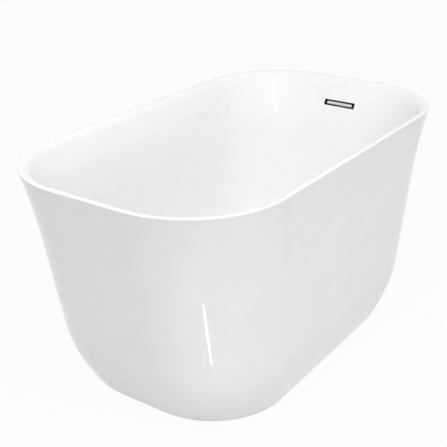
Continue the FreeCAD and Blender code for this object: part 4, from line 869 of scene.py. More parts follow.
class Shells:
    """Sections of the skirt and the well: half length, half width, height and corner radius."""

    def __init__(self, tub):
        self.tub = tub
        self.skirt = {face: SkirtFace(tub, face) for face in FACES}
        self.well = {face: WellFace(tub, face) for face in FACES}
        self.foot_depth = self.skirt["end"].inset(0.0)
        self.well_depth = self.well["end"].inset(tub.well_floor) - tub.end_rim

    def section(self, insets, plain, corner, height):
        """Section from each face's inset. The corner gives way by the mean of what roundings add."""
        added = sum(insets[face] - plain[face] for face in FACES) / len(FACES)
        return (self.tub.length / 2 - insets["end"], self.tub.width / 2 - insets["side"], height,
                corner - added)

    def skirt_section(self, height, wall=0.0, form="inset", *easing):
        plain = {face: self.skirt[face].inset(height) for face in FACES}
        insets = {face: getattr(self.skirt[face], form)(height, *easing) for face in FACES}
        share = plain["end"] / self.foot_depth
        corner = self.tub.rim_corner * (1 - share) + self.tub.base_corner * share
        return self.moved(self.section(insets, plain, corner, height), -wall)

    def well_section(self, height, wall=0.0, form="inset", *easing):
        plain = {face: self.well[face].inset(height) for face in FACES}
        shifted = {face: WellFace(self.tub, face, wall) for face in FACES}
        insets = {face: getattr(shifted[face], form)(height, *easing) + wall for face in FACES}
        share = (plain["end"] - self.tub.end_rim) / self.well_depth
        top = self.tub.rim_corner - self.tub.side_rim
        corner = top * (1 - share) + self.tub.well_corner * share
        return self.moved(self.section(insets, plain, corner, height), wall)

    @staticmethod
    def moved(section, out):
        half_length, half_width, height, corner = section
        return half_length + out, half_width + out, height, corner + out

    @staticmethod
    def to_pole(section, count):
        """Sections that shrink a level section to its centre."""
        half_length, half_width, height, corner = section
        return [(half_length * share, half_width * share, height, corner * share)
                for share in steps(1.0, 0.0, count)[1:]]

    def skirt_wall(self, top, low, wall=0.0, form="inset", *easing):
        """Sections from the top down to where the base's rounding starts."""
        flare_end, rounding_top = self.skirt["end"].flare_end, self.tub.rounding_height
        heights = (steps(top, flare_end, FLARE_ROWS) + steps(flare_end, rounding_top, SKIRT_WALL_ROWS)[1:]
                   + steps(rounding_top, low, BASE_ROWS)[1:])
        return [self.skirt_section(height, wall, form, *easing) for height in heights]

    def base_opening(self, *heights):
        """Sections of the opening in the return at the skirt's foot."""
        tub = self.tub
        half_length, half_width, _, corner = self.skirt_section(tub.floor_gap, tub.return_width)
        return [(half_length, half_width, height, corner) for height in heights]

    def skirt_sections(self):
        tub = self.tub
        top = tub.height - tub.rim_thickness - tub.seam_bond
        foot = (tub.floor_gap, tub.base_edge)
        inside = tub.floor_gap + tub.sheet
        rounding = around(tub.floor_gap, tub.base_edge, FOOT_ROWS, 1.0)[::-1]
        rows = self.skirt_wall(top, rounding[0], 0.0, "footed", *foot)
        rows += [self.skirt_section(height, 0.0, "footed", *foot) for height in rounding[1:]]
        rows += self.base_opening(tub.floor_gap, inside)
        rows += self.skirt_wall(top, inside, tub.sheet)[::-1]
        return rows + rows[:1]

    def skirt_backing_sections(self):
        tub = self.tub
        outside = tub.sheet + tub.bond_gap
        top, low = tub.height - tub.backing_drop, tub.floor_gap + outside
        rows = self.skirt_wall(top, low, outside)
        rows += self.base_opening(low, low + tub.backing)
        rows += self.skirt_wall(top, low + tub.backing, outside + tub.backing)[::-1]
        return rows + rows[:1]

    def bond_sections(self):
        tub = self.tub
        top = tub.height - tub.rim_thickness
        rows = []
        for height, wall in ((top, 0.0), (top - tub.seam_bond, 0.0), (top - tub.seam_bond, tub.sheet),
                             (top, tub.sheet)):
            half_length, half_width, _, corner = self.skirt_section(top - tub.seam_bond, wall)
            rows.append((half_length, half_width, height, corner))
        return rows + rows[:1]

    def floor_up(self, plane, easing, wall):
        """Sections from the floor's centre out and up its rounding."""
        heights = around(plane, easing, FLOOR_EDGE_ROWS, 1.0, FLOOR_EDGE_SHARE)
        rows = [self.well_section(height, wall, "floored", plane, easing) for height in heights]
        return self.to_pole(rows[0], POLE_ROWS)[::-1] + rows

    def well_wall(self, low, top, wall, form="inset", *easing):
        """Sections from the floor's rounding up the wall and its bend."""
        bend_end = self.well["end"].bend_end
        heights = steps(low, bend_end, WELL_WALL_ROWS)[1:] + steps(bend_end, top, WELL_BEND_ROWS)[1:]
        return [self.well_section(height, wall, form, *easing) for height in heights]

    def basin_sections(self):
        tub = self.tub
        top, under = tub.height, tub.height - tub.rim_thickness
        rows = self.floor_up(tub.well_floor, tub.well_edge, 0.0)
        roll = around(top, tub.rim_roll, RIM_ROLL_ROWS, -1.0)[::-1]
        rows += self.well_wall(rows[-1][2], roll[0], 0.0, "rolled", top, tub.rim_roll)
        rows += [self.well_section(height, 0.0, "rolled", top, tub.rim_roll) for height in roll[1:]]
        edge = around(top, tub.rim_edge, RIM_EDGE_ROWS, -1.0) + [top - tub.rim_edge * RIM_FACE_START, under]
        rows += [self.skirt_section(height, 0.0, "edged", top, tub.rim_edge) for height in edge]
        roll = around(under, tub.rim_under, RIM_UNDER_ROWS, -1.0)
        rows += [self.well_section(height, tub.sheet, "rolled", under, tub.rim_under) for height in roll]
        low = self.floor_up(tub.well_floor - tub.sheet, tub.well_edge + tub.sheet, tub.sheet)
        rows += self.well_wall(low[-1][2], roll[-1], tub.sheet, "rolled", under, tub.rim_under)[-2::-1]
        return rows + low[::-1]

    def basin_backing_sections(self):
        tub = self.tub
        inside = tub.sheet + tub.bond_gap
        outside = inside + tub.backing
        top = tub.height - tub.backing_drop
        rows = self.floor_up(tub.well_floor - inside, tub.well_edge + inside, inside)
        rows += self.well_wall(rows[-1][2], top, inside)
        low = self.floor_up(tub.well_floor - outside, tub.well_edge + outside, outside)
        return rows + self.well_wall(low[-1][2], top, outside)[::-1] + low[::-1]

    def outline(self):
        """Points round a section: the corner's side in X and Y, and its angle."""
        tub, points = self.tub, []
        signs = ((1, 1), (-1, 1), (-1, -1), (1, -1))
        straights = (tub.side_steps, tub.end_steps)
        for quarter, (side_x, side_y) in enumerate(signs):
            points += [(side_x, side_y, angle) for angle in
                       steps(quarter * QUARTER, (quarter + 1) * QUARTER, tub.corner_steps)]
            next_x, next_y = signs[(quarter + 1) % len(signs)]
            count = straights[quarter % len(straights)]
            points += [(x, y, (quarter + 1) * QUARTER) for x, y in
                       list(zip(steps(side_x, next_x, count), steps(side_y, next_y, count)))[1:-1]]
        return points + [(1, 1, 0.0)]


def loft(name, tree, shells, rows):
    """Closed shell over sections."""
    points = shells.outline()
    sections = helper(name + "_sections", [row[:3] for row in rows], corner_radius=[row[3] for row in rows])
    outline = helper(name + "_outline", points)
    piece = grown(name, tree, Sections=sections, Outline=outline, Rows=len(rows), Columns=len(points),
                  Weld=SHELL_WELD)
    return face_outwards(piece)


def solid(name, shape):
    """Object from a bmesh, which is freed."""
    mesh = bpy.data.meshes.new(name)
    bmesh.ops.recalc_face_normals(shape, faces=shape.faces)
    shape.to_mesh(mesh)
    shape.free()
    return link(name, mesh)


def upright_rod(name, place, low_radius, high_radius, depth, columns):
    """Upright cone or rod, from its lower face's centre up."""
    shape = bmesh.new()
    bmesh.ops.create_cone(shape, cap_ends=True, segments=columns, radius1=low_radius, radius2=high_radius,
                          depth=depth, matrix=Matrix.Translation(Vector(place) + Vector((0, 0, depth / 2))))
    return solid(name, shape)


def block(name, edges, matrix):
    """Block with three edge lengths about a matrix's origin."""
    shape = bmesh.new()
    bmesh.ops.create_cube(shape, size=1.0, matrix=matrix @ Matrix.Diagonal((*edges, 1.0)))
    return solid(name, shape)


# Cutters pass right through the sheets, so these depths are only larger than what they cut.
SLOT_CUT = 60 * MM
DRAIN_CUT = 40 * MM
BOLT_CUT_START = -5 * MM
SKIRT_BOLT_CUT = 20 * MM
BACKING_BOLT_CUT = 30 * MM
DRAIN_COLUMNS = 96
BOLT_COLUMNS = 24


def slot_frame(tub, fittings):
    """Frame of the overflow slot: its X runs out through the wall, and its Z up along it."""
    face = WellFace(tub, "end")
    height = tub.height - fittings.overflow_drop
    radius, _, level = face.bend
    lean_here = math.asin((level - height) / radius)
    place = Vector((tub.length / 2 - face.inset(height), 0.0, height))
    return Matrix.Translation(place) @ Matrix.Rotation(lean_here, 4, "Y")


def well_openings(tub, fittings):
    """Cutters of the drain hole and the overflow slot."""
    place, radius = middle("waste_flange"), fittings.drain_radius
    drain = upright_rod("drain_cutter", (place.x, place.y, tub.well_floor - DRAIN_CUT / 2), radius, radius,
                        DRAIN_CUT, DRAIN_COLUMNS)
    edges = (SLOT_CUT, fittings.slot_width, fittings.slot_height)
    return [drain, block("slot_cutter", edges, slot_frame(tub, fittings))]


def bolt_cutters(tub, fittings, depth, sunk):
    """Cutters of the holes for the flange bolts, and of their countersinks where these are wanted.

    A countersink's cone starts as far below the skirt's foot as it reaches into it.
    """
    radius, sink_depth = fittings.bolt_radius, fittings.bolt_sink_depth
    cutters = []
    for low, high in islands("flange_bolts"):
        x, y, _ = (low + high) / 2
        cutters.append(upright_rod("bolt_hole", (x, y, BOLT_CUT_START), radius, radius, depth, BOLT_COLUMNS))
        if sunk:
            cutters.append(upright_rod("bolt_sink", (x, y, tub.floor_gap - sink_depth),
                                       2 * fittings.bolt_sink - radius, radius, 2 * sink_depth, BOLT_COLUMNS))
    return cutters


class BATHTUB_OT_shells(bpy.types.Operator):
    """Form the acrylic skirt and the acrylic basin"""
    bl_idname = "bathtub.shells"
    bl_label = "Acrylic shells"

    def execute(self, context):
        tub, fittings = context.scene.bathtub_sizes, context.scene.bathtub_fittings
        tree, shells = lofted_shell_tree(), Shells(tub)
        basin = loft("acrylic_basin", tree, shells, shells.basin_sections())
        dress_as(smooth(cut_away(basin, well_openings(tub, fittings))), "basin")
        skirt = loft("acrylic_skirt", tree, shells, shells.skirt_sections())
        dress_as(smooth(cut_away(skirt, bolt_cutters(tub, fittings, SKIRT_BOLT_CUT, sunk=True))), "skirt")
        dress_as(smooth(loft("rim_adhesive", tree, shells, shells.bond_sections())), "rim_bond")
        return {"FINISHED"}


class BATHTUB_OT_backing(bpy.types.Operator):
    """Lay up the glass fibre behind both shells"""
    bl_idname = "bathtub.backing"
    bl_label = "Glass fibre backing"

    def execute(self, context):
        tub, fittings = context.scene.bathtub_sizes, context.scene.bathtub_fittings
        tree, shells = lofted_shell_tree(), Shells(tub)
        basin = loft("basin_glass_fibre", tree, shells, shells.basin_backing_sections())
        dress_as(smooth(cut_away(basin, well_openings(tub, fittings))), "basin_backing")
        skirt = loft("skirt_glass_fibre", tree, shells, shells.skirt_backing_sections())
        holes = bolt_cutters(tub, fittings, BACKING_BOLT_CUT, sunk=False)
        dress_as(smooth(cut_away(skirt, holes)), "skirt_backing")
        return {"FINISHED"}


# Pieces worked up from their CAD shape

# In degrees: faces that meet below the first are one face, and edges sharper than the second are eased.
FLAT_ANGLE = 1
EASED_ANGLE = 30


def softened(name, node, width, segments=2):
    """Copy of a node with its edges eased by a real width."""
    mesh = frame["nodes"][node].data.copy()
    shape = bmesh.new()
    shape.from_mesh(mesh)
    bmesh.ops.remove_doubles(shape, verts=shape.verts, dist=SMALL_WELD)
    bmesh.ops.dissolve_limit(shape, angle_limit=math.radians(FLAT_ANGLE), verts=shape.verts,
                             edges=shape.edges)
    shape.to_mesh(mesh)
    shape.free()
    # What the CAD mesh says of its normals no longer fits the joined faces.
    for attribute in ("custom_normal", "sharp_edge", "sharp_face"):
        if attribute in mesh.attributes:
            mesh.attributes.remove(mesh.attributes[attribute])
    holder = link(name + "_holder", mesh)
    bevel = holder.modifiers.new("ease", "BEVEL")
    bevel.width = width
    bevel.segments = segments
    bevel.limit_method = "ANGLE"
    bevel.angle_limit = math.radians(EASED_ANGLE)
    piece = plain(name, holder)
    bpy.data.objects.remove(holder)
    return dress_as(smooth(piece, TURNED_CREASE), node)


# Turned and swept pieces

# A side is at least this many times as long as the rounding at each of its ends.
ROUNDINGS_PER_SIDE = 2.2
RING_COLUMNS = 64


def rounded(points, easing, count=3):
    """Closed outline of radius and height pairs with each corner rounded."""
    result = []
    for i, corner in enumerate(points):
        corner = Vector(corner)
        before, after = Vector(points[i - 1]), Vector(points[(i + 1) % len(points)])
        back, on = before - corner, after - corner
        reach = min(easing, back.length / ROUNDINGS_PER_SIDE, on.length / ROUNDINGS_PER_SIDE)
        if corner.x <= 0 or reach <= 0:
            result.append(corner)
            continue
        start, stop = corner + back.normalized() * reach, corner + on.normalized() * reach
        result += [start.lerp(corner, t).lerp(corner.lerp(stop, t), t) for t in steps(0.0, 1.0, count)]
    return result


def turned(name, tree, centre, points, easing, columns, ribs=0, rib=0.0, ribbed=None):
    """Piece turned about an upright axis from its closed outline."""
    outline = rounded(points, easing)
    outline.append(outline[0])
    depths = [rib if ribbed is not None and ribbed(point) else 0.0 for point in outline]
    rings = helper(name + "_rings", [(centre.x, centre.y, point.y) for point in outline],
                   radius=[max(point.x, 0.0) for point in outline], rib=depths,
                   normal=[(1.0, 0.0, 0.0)] * len(outline))
    piece = grown(name, tree, Rings=rings, Rows=len(outline), Columns=columns + 1, Ribs=ribs, Weld=SMALL_WELD)
    return smooth(face_outwards(piece), TURNED_CREASE)


def joined(name, pieces):
    """One object from several."""
    shape = bmesh.new()
    for piece in pieces:
        shape.from_mesh(piece.data)
        bpy.data.objects.remove(piece)
    mesh = bpy.data.meshes.new(name)
    shape.to_mesh(mesh)
    shape.free()
    return link(name, mesh)


def bore_radius(node, box=None):
    """Least distance of a node's points from the upright axis of its box, or of one of its solids' boxes."""
    low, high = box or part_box(node)
    centre = ((low + high) / 2).xy
    return min((vertex.co.xy - centre).length for vertex in frame["nodes"][node].data.vertices)


def outer_radius(node):
    low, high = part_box(node)
    return (high.x - low.x) / 2


def tube_outline(inner, outer, low, high):
    """Radius and height outline of a plain ring or tube."""
    return [(inner, low), (outer, low), (outer, high), (inner, high)]


class BATHTUB_OT_overflow(bpy.types.Operator):
    """Fit the overflow's trim, blade, gasket and box"""
    bl_idname = "bathtub.overflow"
    bl_label = "Overflow"

    def execute(self, context):
        # The trim is dressed in black: painted shade for the dark gap round the blade.
        softened("slot_trim", "overflow_trim", width=0.35 * MM, segments=3)
        softened("slot_blade", "overflow_blade", width=0.9 * MM, segments=4)
        softened("slot_gasket", "overflow_gasket", width=0.3 * MM)
        softened("slot_box", "overflow_box", width=0.5 * MM)
        return {"FINISHED"}


HOSE_COLUMNS = 40
HOSE_ROWS_PER_RIB = 8


class BATHTUB_OT_hose(bpy.types.Operator):
    """Run the corrugated hose from the overflow down to the waste"""
    bl_idname = "bathtub.hose"
    bl_label = "Overflow hose"

    def execute(self, context):
        rows = hose_rows(context.scene.bathtub_fittings)
        rings = helper("hose_rings", [row[0] for row in rows], radius=[row[2] for row in rows],
                       rib=[0.0] * len(rows), normal=[row[1] for row in rows])
        hose = grown("corrugated_hose", swept_ring_tree(), Rings=rings, Rows=len(rows),
                     Columns=HOSE_COLUMNS + 1, Ribs=0, Weld=SMALL_WELD)
        dress_as(smooth(face_outwards(hose), RIBBED_CREASE), "overflow_hose")
        softened("worm_clips", "hose_clips", width=0.3 * MM)
        return {"FINISHED"}


def hose_route(fittings):
    """Length of the hose, and its place and outward normal at a distance down it."""
    low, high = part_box("overflow_hose")
    radius, bend, slope = fittings.hose_radius, fittings.hose_bend, fittings.hose_lean
    down = Vector((-math.sin(slope), 0.0, -math.cos(slope)))
    upper_normal = Vector((math.cos(slope), 0.0, -math.sin(slope)))
    top = Vector((high.x - radius * math.cos(slope), 0.0, high.z - radius * math.sin(slope)))
    drop = (top.z - low.z - radius) / math.cos(slope)
    tangent = bend * math.tan((QUARTER - slope) / 2)
    straight, curved = drop - tangent, bend * (QUARTER - slope)
    corner = top + down * drop
    centre = corner + Vector((-tangent, 0.0, bend))
    total = straight + curved + corner.x - tangent - low.x

    def at(distance):
        if distance <= straight:
            return top + down * distance, upper_normal
        if distance <= straight + curved:
            angle = slope + (distance - straight) / bend
            normal = Vector((math.cos(angle), 0.0, -math.sin(angle)))
            return centre + normal * bend, normal
        level = corner - Vector((tangent + distance - straight - curved, 0.0, 0.0))
        return level, Vector((0.0, 0.0, -1.0))

    return total, at


def hose_rows(fittings):
    """Rings down the outside of the hose and back up its bore. Its two ends are plain cuffs."""
    total, at = hose_route(fittings)
    cuff, wall = fittings.hose_cuff, fittings.hose_wall
    count = round((total - 2 * cuff) / fittings.hose_pitch)
    outside, inside = [], []
    for stop in [0.0] + steps(cuff, total - cuff, count * HOSE_ROWS_PER_RIB) + [total]:
        place, normal = at(stop)
        share = (stop - cuff) / (total - 2 * cuff)
        wave = (1 - math.cos(share * count * FULL_TURN)) / 2 if 0 < share < 1 else 0.0
        outer = fittings.hose_radius - fittings.hose_rib * wave
        outside.append((place, normal, outer))
        inside.append((place, normal, outer - wall if 0 < share < 1 else fittings.hose_bore))
    rows = outside + inside[::-1]
    return rows + rows[:1]


class BATHTUB_OT_waste(bpy.types.Operator):
    """Fit the chromed waste, its body, seals, tail nut and tailpiece"""
    bl_idname = "bathtub.waste"
    bl_label = "Waste"

    def execute(self, context):
        tree, fittings = swept_ring_tree(), context.scene.bathtub_fittings
        make_ring(tree, "waste_gasket_upper", "waste_seal", easing=0.5 * MM)
        make_ring(tree, "waste_gasket_lower", "tub_gasket", easing=0.9 * MM)
        make_ring(tree, "tail_gasket", "tail_washer", easing=0.5 * MM)
        make_chrome_flange(tree)
        make_tail_nut(tree, fittings)
        make_tailpiece(tree)
        softened("waste_elbow", "waste_body", width=0.5 * MM)
        return {"FINISHED"}


def make_ring(tree, name, node, easing, columns=RING_COLUMNS):
    """Plain rubber ring with its edges eased."""
    low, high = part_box(node)
    outline = tube_outline(bore_radius(node), outer_radius(node), low.z, high.z)
    dress_as(turned(name, tree, middle(node), outline, easing, columns), node)


def make_chrome_flange(tree):
    """Strainer flange: a bevelled disc, a thin barrel under it, and a cross for the plug's cartridge."""
    low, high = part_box("waste_flange")
    centre, rim = middle("waste_flange"), outer_radius("waste_flange")
    disc, disc_edge, bevel = 3 * MM, 1 * MM, 3 * MM
    barrel, bore, mouth, mouth_depth = 23.3 * MM, 20.7 * MM, 24 * MM, 1.5 * MM
    boss_bore, boss, boss_height, boss_drop = 5 * MM, 7 * MM, 6 * MM, 12 * MM
    arm_length, arm_width, arm_height, arm_reach = 15.5 * MM, 3 * MM, 5.8 * MM, 13.9 * MM
    seat = high.z - disc
    flange = turned("chrome_flange", tree, centre, [
        (bore, low.z), (barrel, low.z), (barrel, seat), (rim, seat), (rim, seat + disc_edge),
        (rim - bevel, high.z), (mouth, high.z), (bore, seat + mouth_depth)], easing=0.45 * MM, columns=96)
    top = seat - boss_drop
    ring = tube_outline(boss_bore, boss, top - boss_height, top)
    pieces = [flange, turned("cross_boss", tree, centre, ring, easing=0.3 * MM, columns=48)]
    for quarter in range(4):
        place = (Matrix.Translation((centre.x, centre.y, top - boss_height / 2))
                 @ Matrix.Rotation(quarter * QUARTER, 4, "Z") @ Matrix.Translation((arm_reach, 0.0, 0.0)))
        pieces.append(block("cross_arm_%d" % quarter, (arm_length, arm_width, arm_height), place))
    dress_as(smooth(joined("chrome_flange", pieces), TURNED_CREASE), "waste_flange")


def make_tail_nut(tree, fittings):
    """Moulded nut with grip ribs round its outside."""
    low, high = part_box("tail_nut")
    outer, rib, lip = outer_radius("tail_nut"), 0.6 * MM, 2.5 * MM
    neck, bore = bore_radius("tail_nut"), 24.2 * MM
    outline = [(neck, low.z), (outer - rib, low.z), (outer - rib, high.z), (bore, high.z),
               (bore, low.z + lip), (neck, low.z + lip)]
    nut = turned("tail_nut_moulded", tree, middle("tail_nut"), outline, easing=0.8 * MM, columns=192,
                 ribs=fittings.nut_ribs, rib=rib, ribbed=lambda point: point.x > outer - 2 * rib)
    dress_as(nut, "tail_nut")


def make_tailpiece(tree):
    """Plain outlet tube with a narrower neck in the nut."""
    low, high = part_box("tailpiece")
    outer, inner = outer_radius("tailpiece"), bore_radius("tailpiece")
    neck_inset, shoulder_drop = 0.4 * MM, 1 * MM
    neck, shoulder = outer - neck_inset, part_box("tail_nut")[0].z - shoulder_drop
    outline = [(inner, low.z), (outer, low.z), (outer, shoulder), (neck, shoulder), (neck, high.z),
               (inner, high.z)]
    tube = turned("outlet_tube", tree, middle("tailpiece"), outline, easing=0.3 * MM, columns=72)
    dress_as(tube, "tailpiece")


class BATHTUB_OT_plug(bpy.types.Operator):
    """Make the click plug's cap, seal, stem and cartridge"""
    bl_idname = "bathtub.plug"
    bl_label = "Click plug"

    def execute(self, context):
        tree, socket = swept_ring_tree(), bore_radius("plug_cartridge")
        make_plug_cap(tree, socket)
        make_ring(tree, "plug_gasket", "plug_seal", easing=0.6 * MM, columns=72)
        make_stem(tree)
        make_cartridge(tree, socket)
        return {"FINISHED"}


def make_stem(tree):
    low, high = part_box("plug_stem")
    radius = 3 * MM
    outline = tube_outline(0.0, radius, low.z, high.z)
    stem = turned("brass_stem", tree, middle("plug_stem"), outline, easing=0.6 * MM, columns=32)
    dress_as(stem, "plug_stem")


def make_cartridge(tree, socket):
    """Guide of the stem: a thin sleeve under a collar."""
    low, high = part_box("plug_cartridge")
    collar, sleeve, collar_height = outer_radius("plug_cartridge"), 4.9 * MM, 3 * MM
    seat = high.z - collar_height
    outline = [(socket, low.z), (sleeve, low.z), (sleeve, seat), (collar, seat), (collar, high.z),
               (socket, high.z)]
    guide = turned("brass_cartridge", tree, middle("plug_cartridge"), outline, easing=0.3 * MM, columns=48)
    dress_as(guide, "plug_cartridge")


def make_plug_cap(tree, socket):
    """Domed cap with a hub under it that the stem goes into."""
    low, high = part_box("plug_cap")
    radius, hub, thickness, edge = outer_radius("plug_cap"), 7 * MM, 4 * MM, 1.25 * MM
    crown_inset, crown_rise, crown_rows = 2.5 * MM, 1.5 * MM, 8
    under = high.z - thickness
    crown = [(share * (radius - crown_inset), high.z - crown_rise * share ** 2)
             for share in steps(1.0, 0.0, crown_rows)]
    outline = [(0.0, under), (socket, under), (socket, low.z), (hub, low.z), (hub, under), (radius, under),
               (radius, under + edge)] + crown
    cap = turned("chrome_cap", tree, middle("plug_cap"), outline, easing=0.5 * MM, columns=96)
    dress_as(cap, "plug_cap")


# Frame, feet and fasteners

# Rows of faces for each turn of a thread, and faces round a small screw and its head
ROWS_PER_TURN = 6
SCREW_COLUMNS = 20
HEAD_COLUMNS = 40


class BATHTUB_OT_frame(bpy.types.Operator):
    """Set the plywood board on its steel frame, with caps and skirt brackets"""
    bl_idname = "bathtub.frame"
    bl_label = "Board and frame"

    def execute(self, context):
        softened("plywood_board", "base_board", width=0.6 * MM)
        for node in ("rail_left", "rail_right", "crossbar_at_head", "crossbar_at_foot"):
            softened(node + "_tube", node, width=1.2 * MM, segments=3)
        softened("tube_caps", "rail_caps", width=1.0 * MM, segments=3)
        softened("brackets_bent", "skirt_brackets", width=0.6 * MM)
        return {"FINISHED"}


class BATHTUB_OT_feet(bpy.types.Operator):
    """Make the four levelling feet with their nuts"""
    bl_idname = "bathtub.feet"
    bl_label = "Levelling feet"

    def execute(self, context):
        rings, threads, fittings = swept_ring_tree(), thread_tree(), context.scene.bathtub_fittings
        for foot in FEET:
            make_pad(rings, foot)
            make_stud(threads, fittings, foot)
        scatter = placed_tree()
        for node in ("leg_nuts", "lock_nuts", "flange_nuts"):
            boxes = islands(node)
            low, high = boxes[0]
            name = node + "_hexagon"
            nut = hexagon_nut(name + "_one", (high.x - low.x) / 2, high.z - low.z,
                              bore_radius(node, boxes[0]))
            place_copies(name, scatter, nut, foot_points(boxes), node)
        return {"FINISHED"}


def foot_points(boxes):
    """Lowest point on the upright axis of each box."""
    return [Vector(((low.x + high.x) / 2, (low.y + high.y) / 2, low.z)) for low, high in boxes]


def make_pad(tree, foot):
    """Moulded pad: a finger-grip edge, and a boss that the stud's end turns in."""
    low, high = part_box("pad_" + foot)
    outer, grip, grips = outer_radius("pad_" + foot), 0.5 * MM, 20
    boss, socket = 10 * MM, 6.1 * MM
    edge_top, boss_foot, socket_floor = 7 * MM, 9 * MM, 6 * MM
    outline = [(0.0, low.z), (outer - grip, low.z), (outer - grip, edge_top), (boss, boss_foot),
               (boss, high.z), (socket, high.z), (socket, socket_floor), (0.0, socket_floor)]
    pad = turned("foot_pad_" + foot, tree, middle("pad_" + foot), outline, easing=1.0 * MM, columns=120,
                 ribs=grips, rib=grip, ribbed=lambda point: point.x > outer - 3 * grip)
    dress_as(pad, "pad_" + foot)


def make_stud(tree, fittings, foot):
    """Rolled thread with a hexagon for the spanner."""
    node = "stud_" + foot
    low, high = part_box(node)
    centre, length = middle(node), high.z - low.z
    radius, runout, columns = 6 * MM, 1.5 * MM, 24
    corner, height, bore, hexagon_foot = 10 * MM, 9 * MM, 4.5 * MM, 20 * MM
    thread = threaded_rod(node, tree, radius, length, fittings.thread_pitch, fittings.thread_depth, runout,
                          columns)
    thread.data.transform(Matrix.Translation(centre))
    hexagon = hexagon_nut(node + "_hexagon", corner, height, bore)
    hexagon.data.transform(Matrix.Translation((centre.x, centre.y, hexagon_foot)))
    dress_as(smooth(joined("threaded_" + node, [thread, hexagon]), RIBBED_CREASE), node)


def threaded_rod(name, tree, radius, length, pitch, depth, runout, columns=SCREW_COLUMNS):
    """Upright threaded rod about the origin."""
    return grown(name + "_thread", tree, Radius=radius, Length=length, Pitch=pitch, Depth=depth,
                 Runout=runout, Columns=columns, Rows=int(length / pitch) * ROWS_PER_TURN)


def hexagon_nut(name, corner, height, bore, columns=60):
    """Hexagon nut standing on the origin, with both faces turned down to a circle and an eased bore."""
    half_side, chamfer_slope = math.radians(30), math.radians(30)
    face_share, widest_ease, ease_share = 0.97, 0.6 * MM, 0.15
    flat = corner * math.cos(half_side)
    face, ease = flat * face_share, min(widest_ease, bore * ease_share)
    shape, rows = bmesh.new(), []

    def edge(angle):
        return flat / math.cos(angle % (2 * half_side) - half_side)

    def drop(angle):
        return (edge(angle) - face) * math.tan(chamfer_slope)

    rules = [lambda a: (bore, ease), lambda a: (bore + ease, 0.0), lambda a: (face, 0.0),
             lambda a: (edge(a), drop(a)), lambda a: (edge(a), height - drop(a)), lambda a: (face, height),
             lambda a: (bore + ease, height), lambda a: (bore, height - ease)]
    angles = [FULL_TURN * i / columns for i in range(columns)]
    for rule in rules:
        rows.append([shape.verts.new((rule(a)[0] * math.cos(a), rule(a)[0] * math.sin(a), rule(a)[1]))
                     for a in angles])
    for row, following in zip(rows, rows[1:] + rows[:1]):
        for i in range(columns):
            after = (i + 1) % columns
            shape.faces.new((row[i], row[after], following[after], following[i]))
    return solid(name, shape)


def place_copies(name, tree, fastener, places, node, turns=None):
    """One piece with a copy of a fastener at each place, upright or turned."""
    spots = helper(name + "_places", places, turn=turns or [(0.0, 0.0, 0.0)] * len(places))
    return dress_as(smooth(grown(name, tree, Places=spots, Fastener=fastener)), node)


class BATHTUB_OT_fasteners(bpy.types.Operator):
    """Drive the screws and bolts"""
    bl_idname = "bathtub.fasteners"
    bl_label = "Screws and bolts"

    def execute(self, context):
        rings, threads, scatter = trees = swept_ring_tree(), thread_tree(), placed_tree()
        drive_screws("pan_head_screws", "board_screws", trees, shank=2.2 * MM, head=4.5 * MM, rise=3.0 * MM,
                     length=35.0 * MM, pitch=1.8 * MM)
        drive_screws("bracket_screws", "rail_screws", trees, shank=2.4 * MM, head=5.0 * MM, rise=3.5 * MM,
                     length=8.0 * MM, pitch=1.4 * MM)
        bolt = countersunk_bolt("flange_bolt_one", rings, threads)
        place_copies("countersunk_bolts", scatter, bolt, foot_points(islands("flange_bolts")), "flange_bolts")
        softened("overflow_fixings", "overflow_screws", width=0.25 * MM)
        return {"FINISHED"}


def drive_screws(name, node, trees, rise, **sizes):
    """Screws in a node's places: upright ones from below, and level ones inwards from the tub's sides."""
    rings, threads, scatter = trees
    screw = pan_head_screw(name + "_one", rings, threads, rise=rise, **sizes)
    places, turns = [], []
    for low, high in islands(node):
        centre = (low + high) / 2
        side = math.copysign(1, centre.y)
        upright = high.z - low.z > high.y - low.y
        seat = low.z + rise if upright else centre.z
        edge = centre.y if upright else side * (max(abs(low.y), abs(high.y)) - rise)
        places.append(Vector((centre.x, edge, seat)))
        turns.append((0.0 if upright else side * QUARTER, 0.0, 0.0))
    place_copies(name, scatter, screw, places, node, turns)


def pan_head_screw(name, rings, threads, shank, head, rise, length, pitch):
    """Screw with its head below the origin and its thread above."""
    crown, shoulder, neck, overlap = head * 0.8, rise * 0.55, shank * 0.8, 0.4 * MM
    recess_reach, recess_width = head * 0.5, head * 0.13
    depth, runout = pitch * 0.35, 1.2 * MM
    outline = [(0.0, -rise), (crown, -rise), (head, -shoulder), (head, 0.0), (neck, 0.0), (neck, overlap),
               (0.0, overlap)]
    top = turned(name + "_head", rings, Vector(), outline, easing=0.5 * MM, columns=HEAD_COLUMNS)
    for along, across in ((recess_reach, recess_width), (recess_width, recess_reach)):
        edges = (2 * along, 2 * across, rise)
        top = cut_away(top, [block(name + "_slot", edges, Matrix.Translation((0.0, 0.0, -rise)))])
    thread = threaded_rod(name, threads, shank, length, pitch, depth, runout)
    thread.data.transform(Matrix.Translation((0.0, 0.0, length / 2)))
    return joined(name, [top, thread])


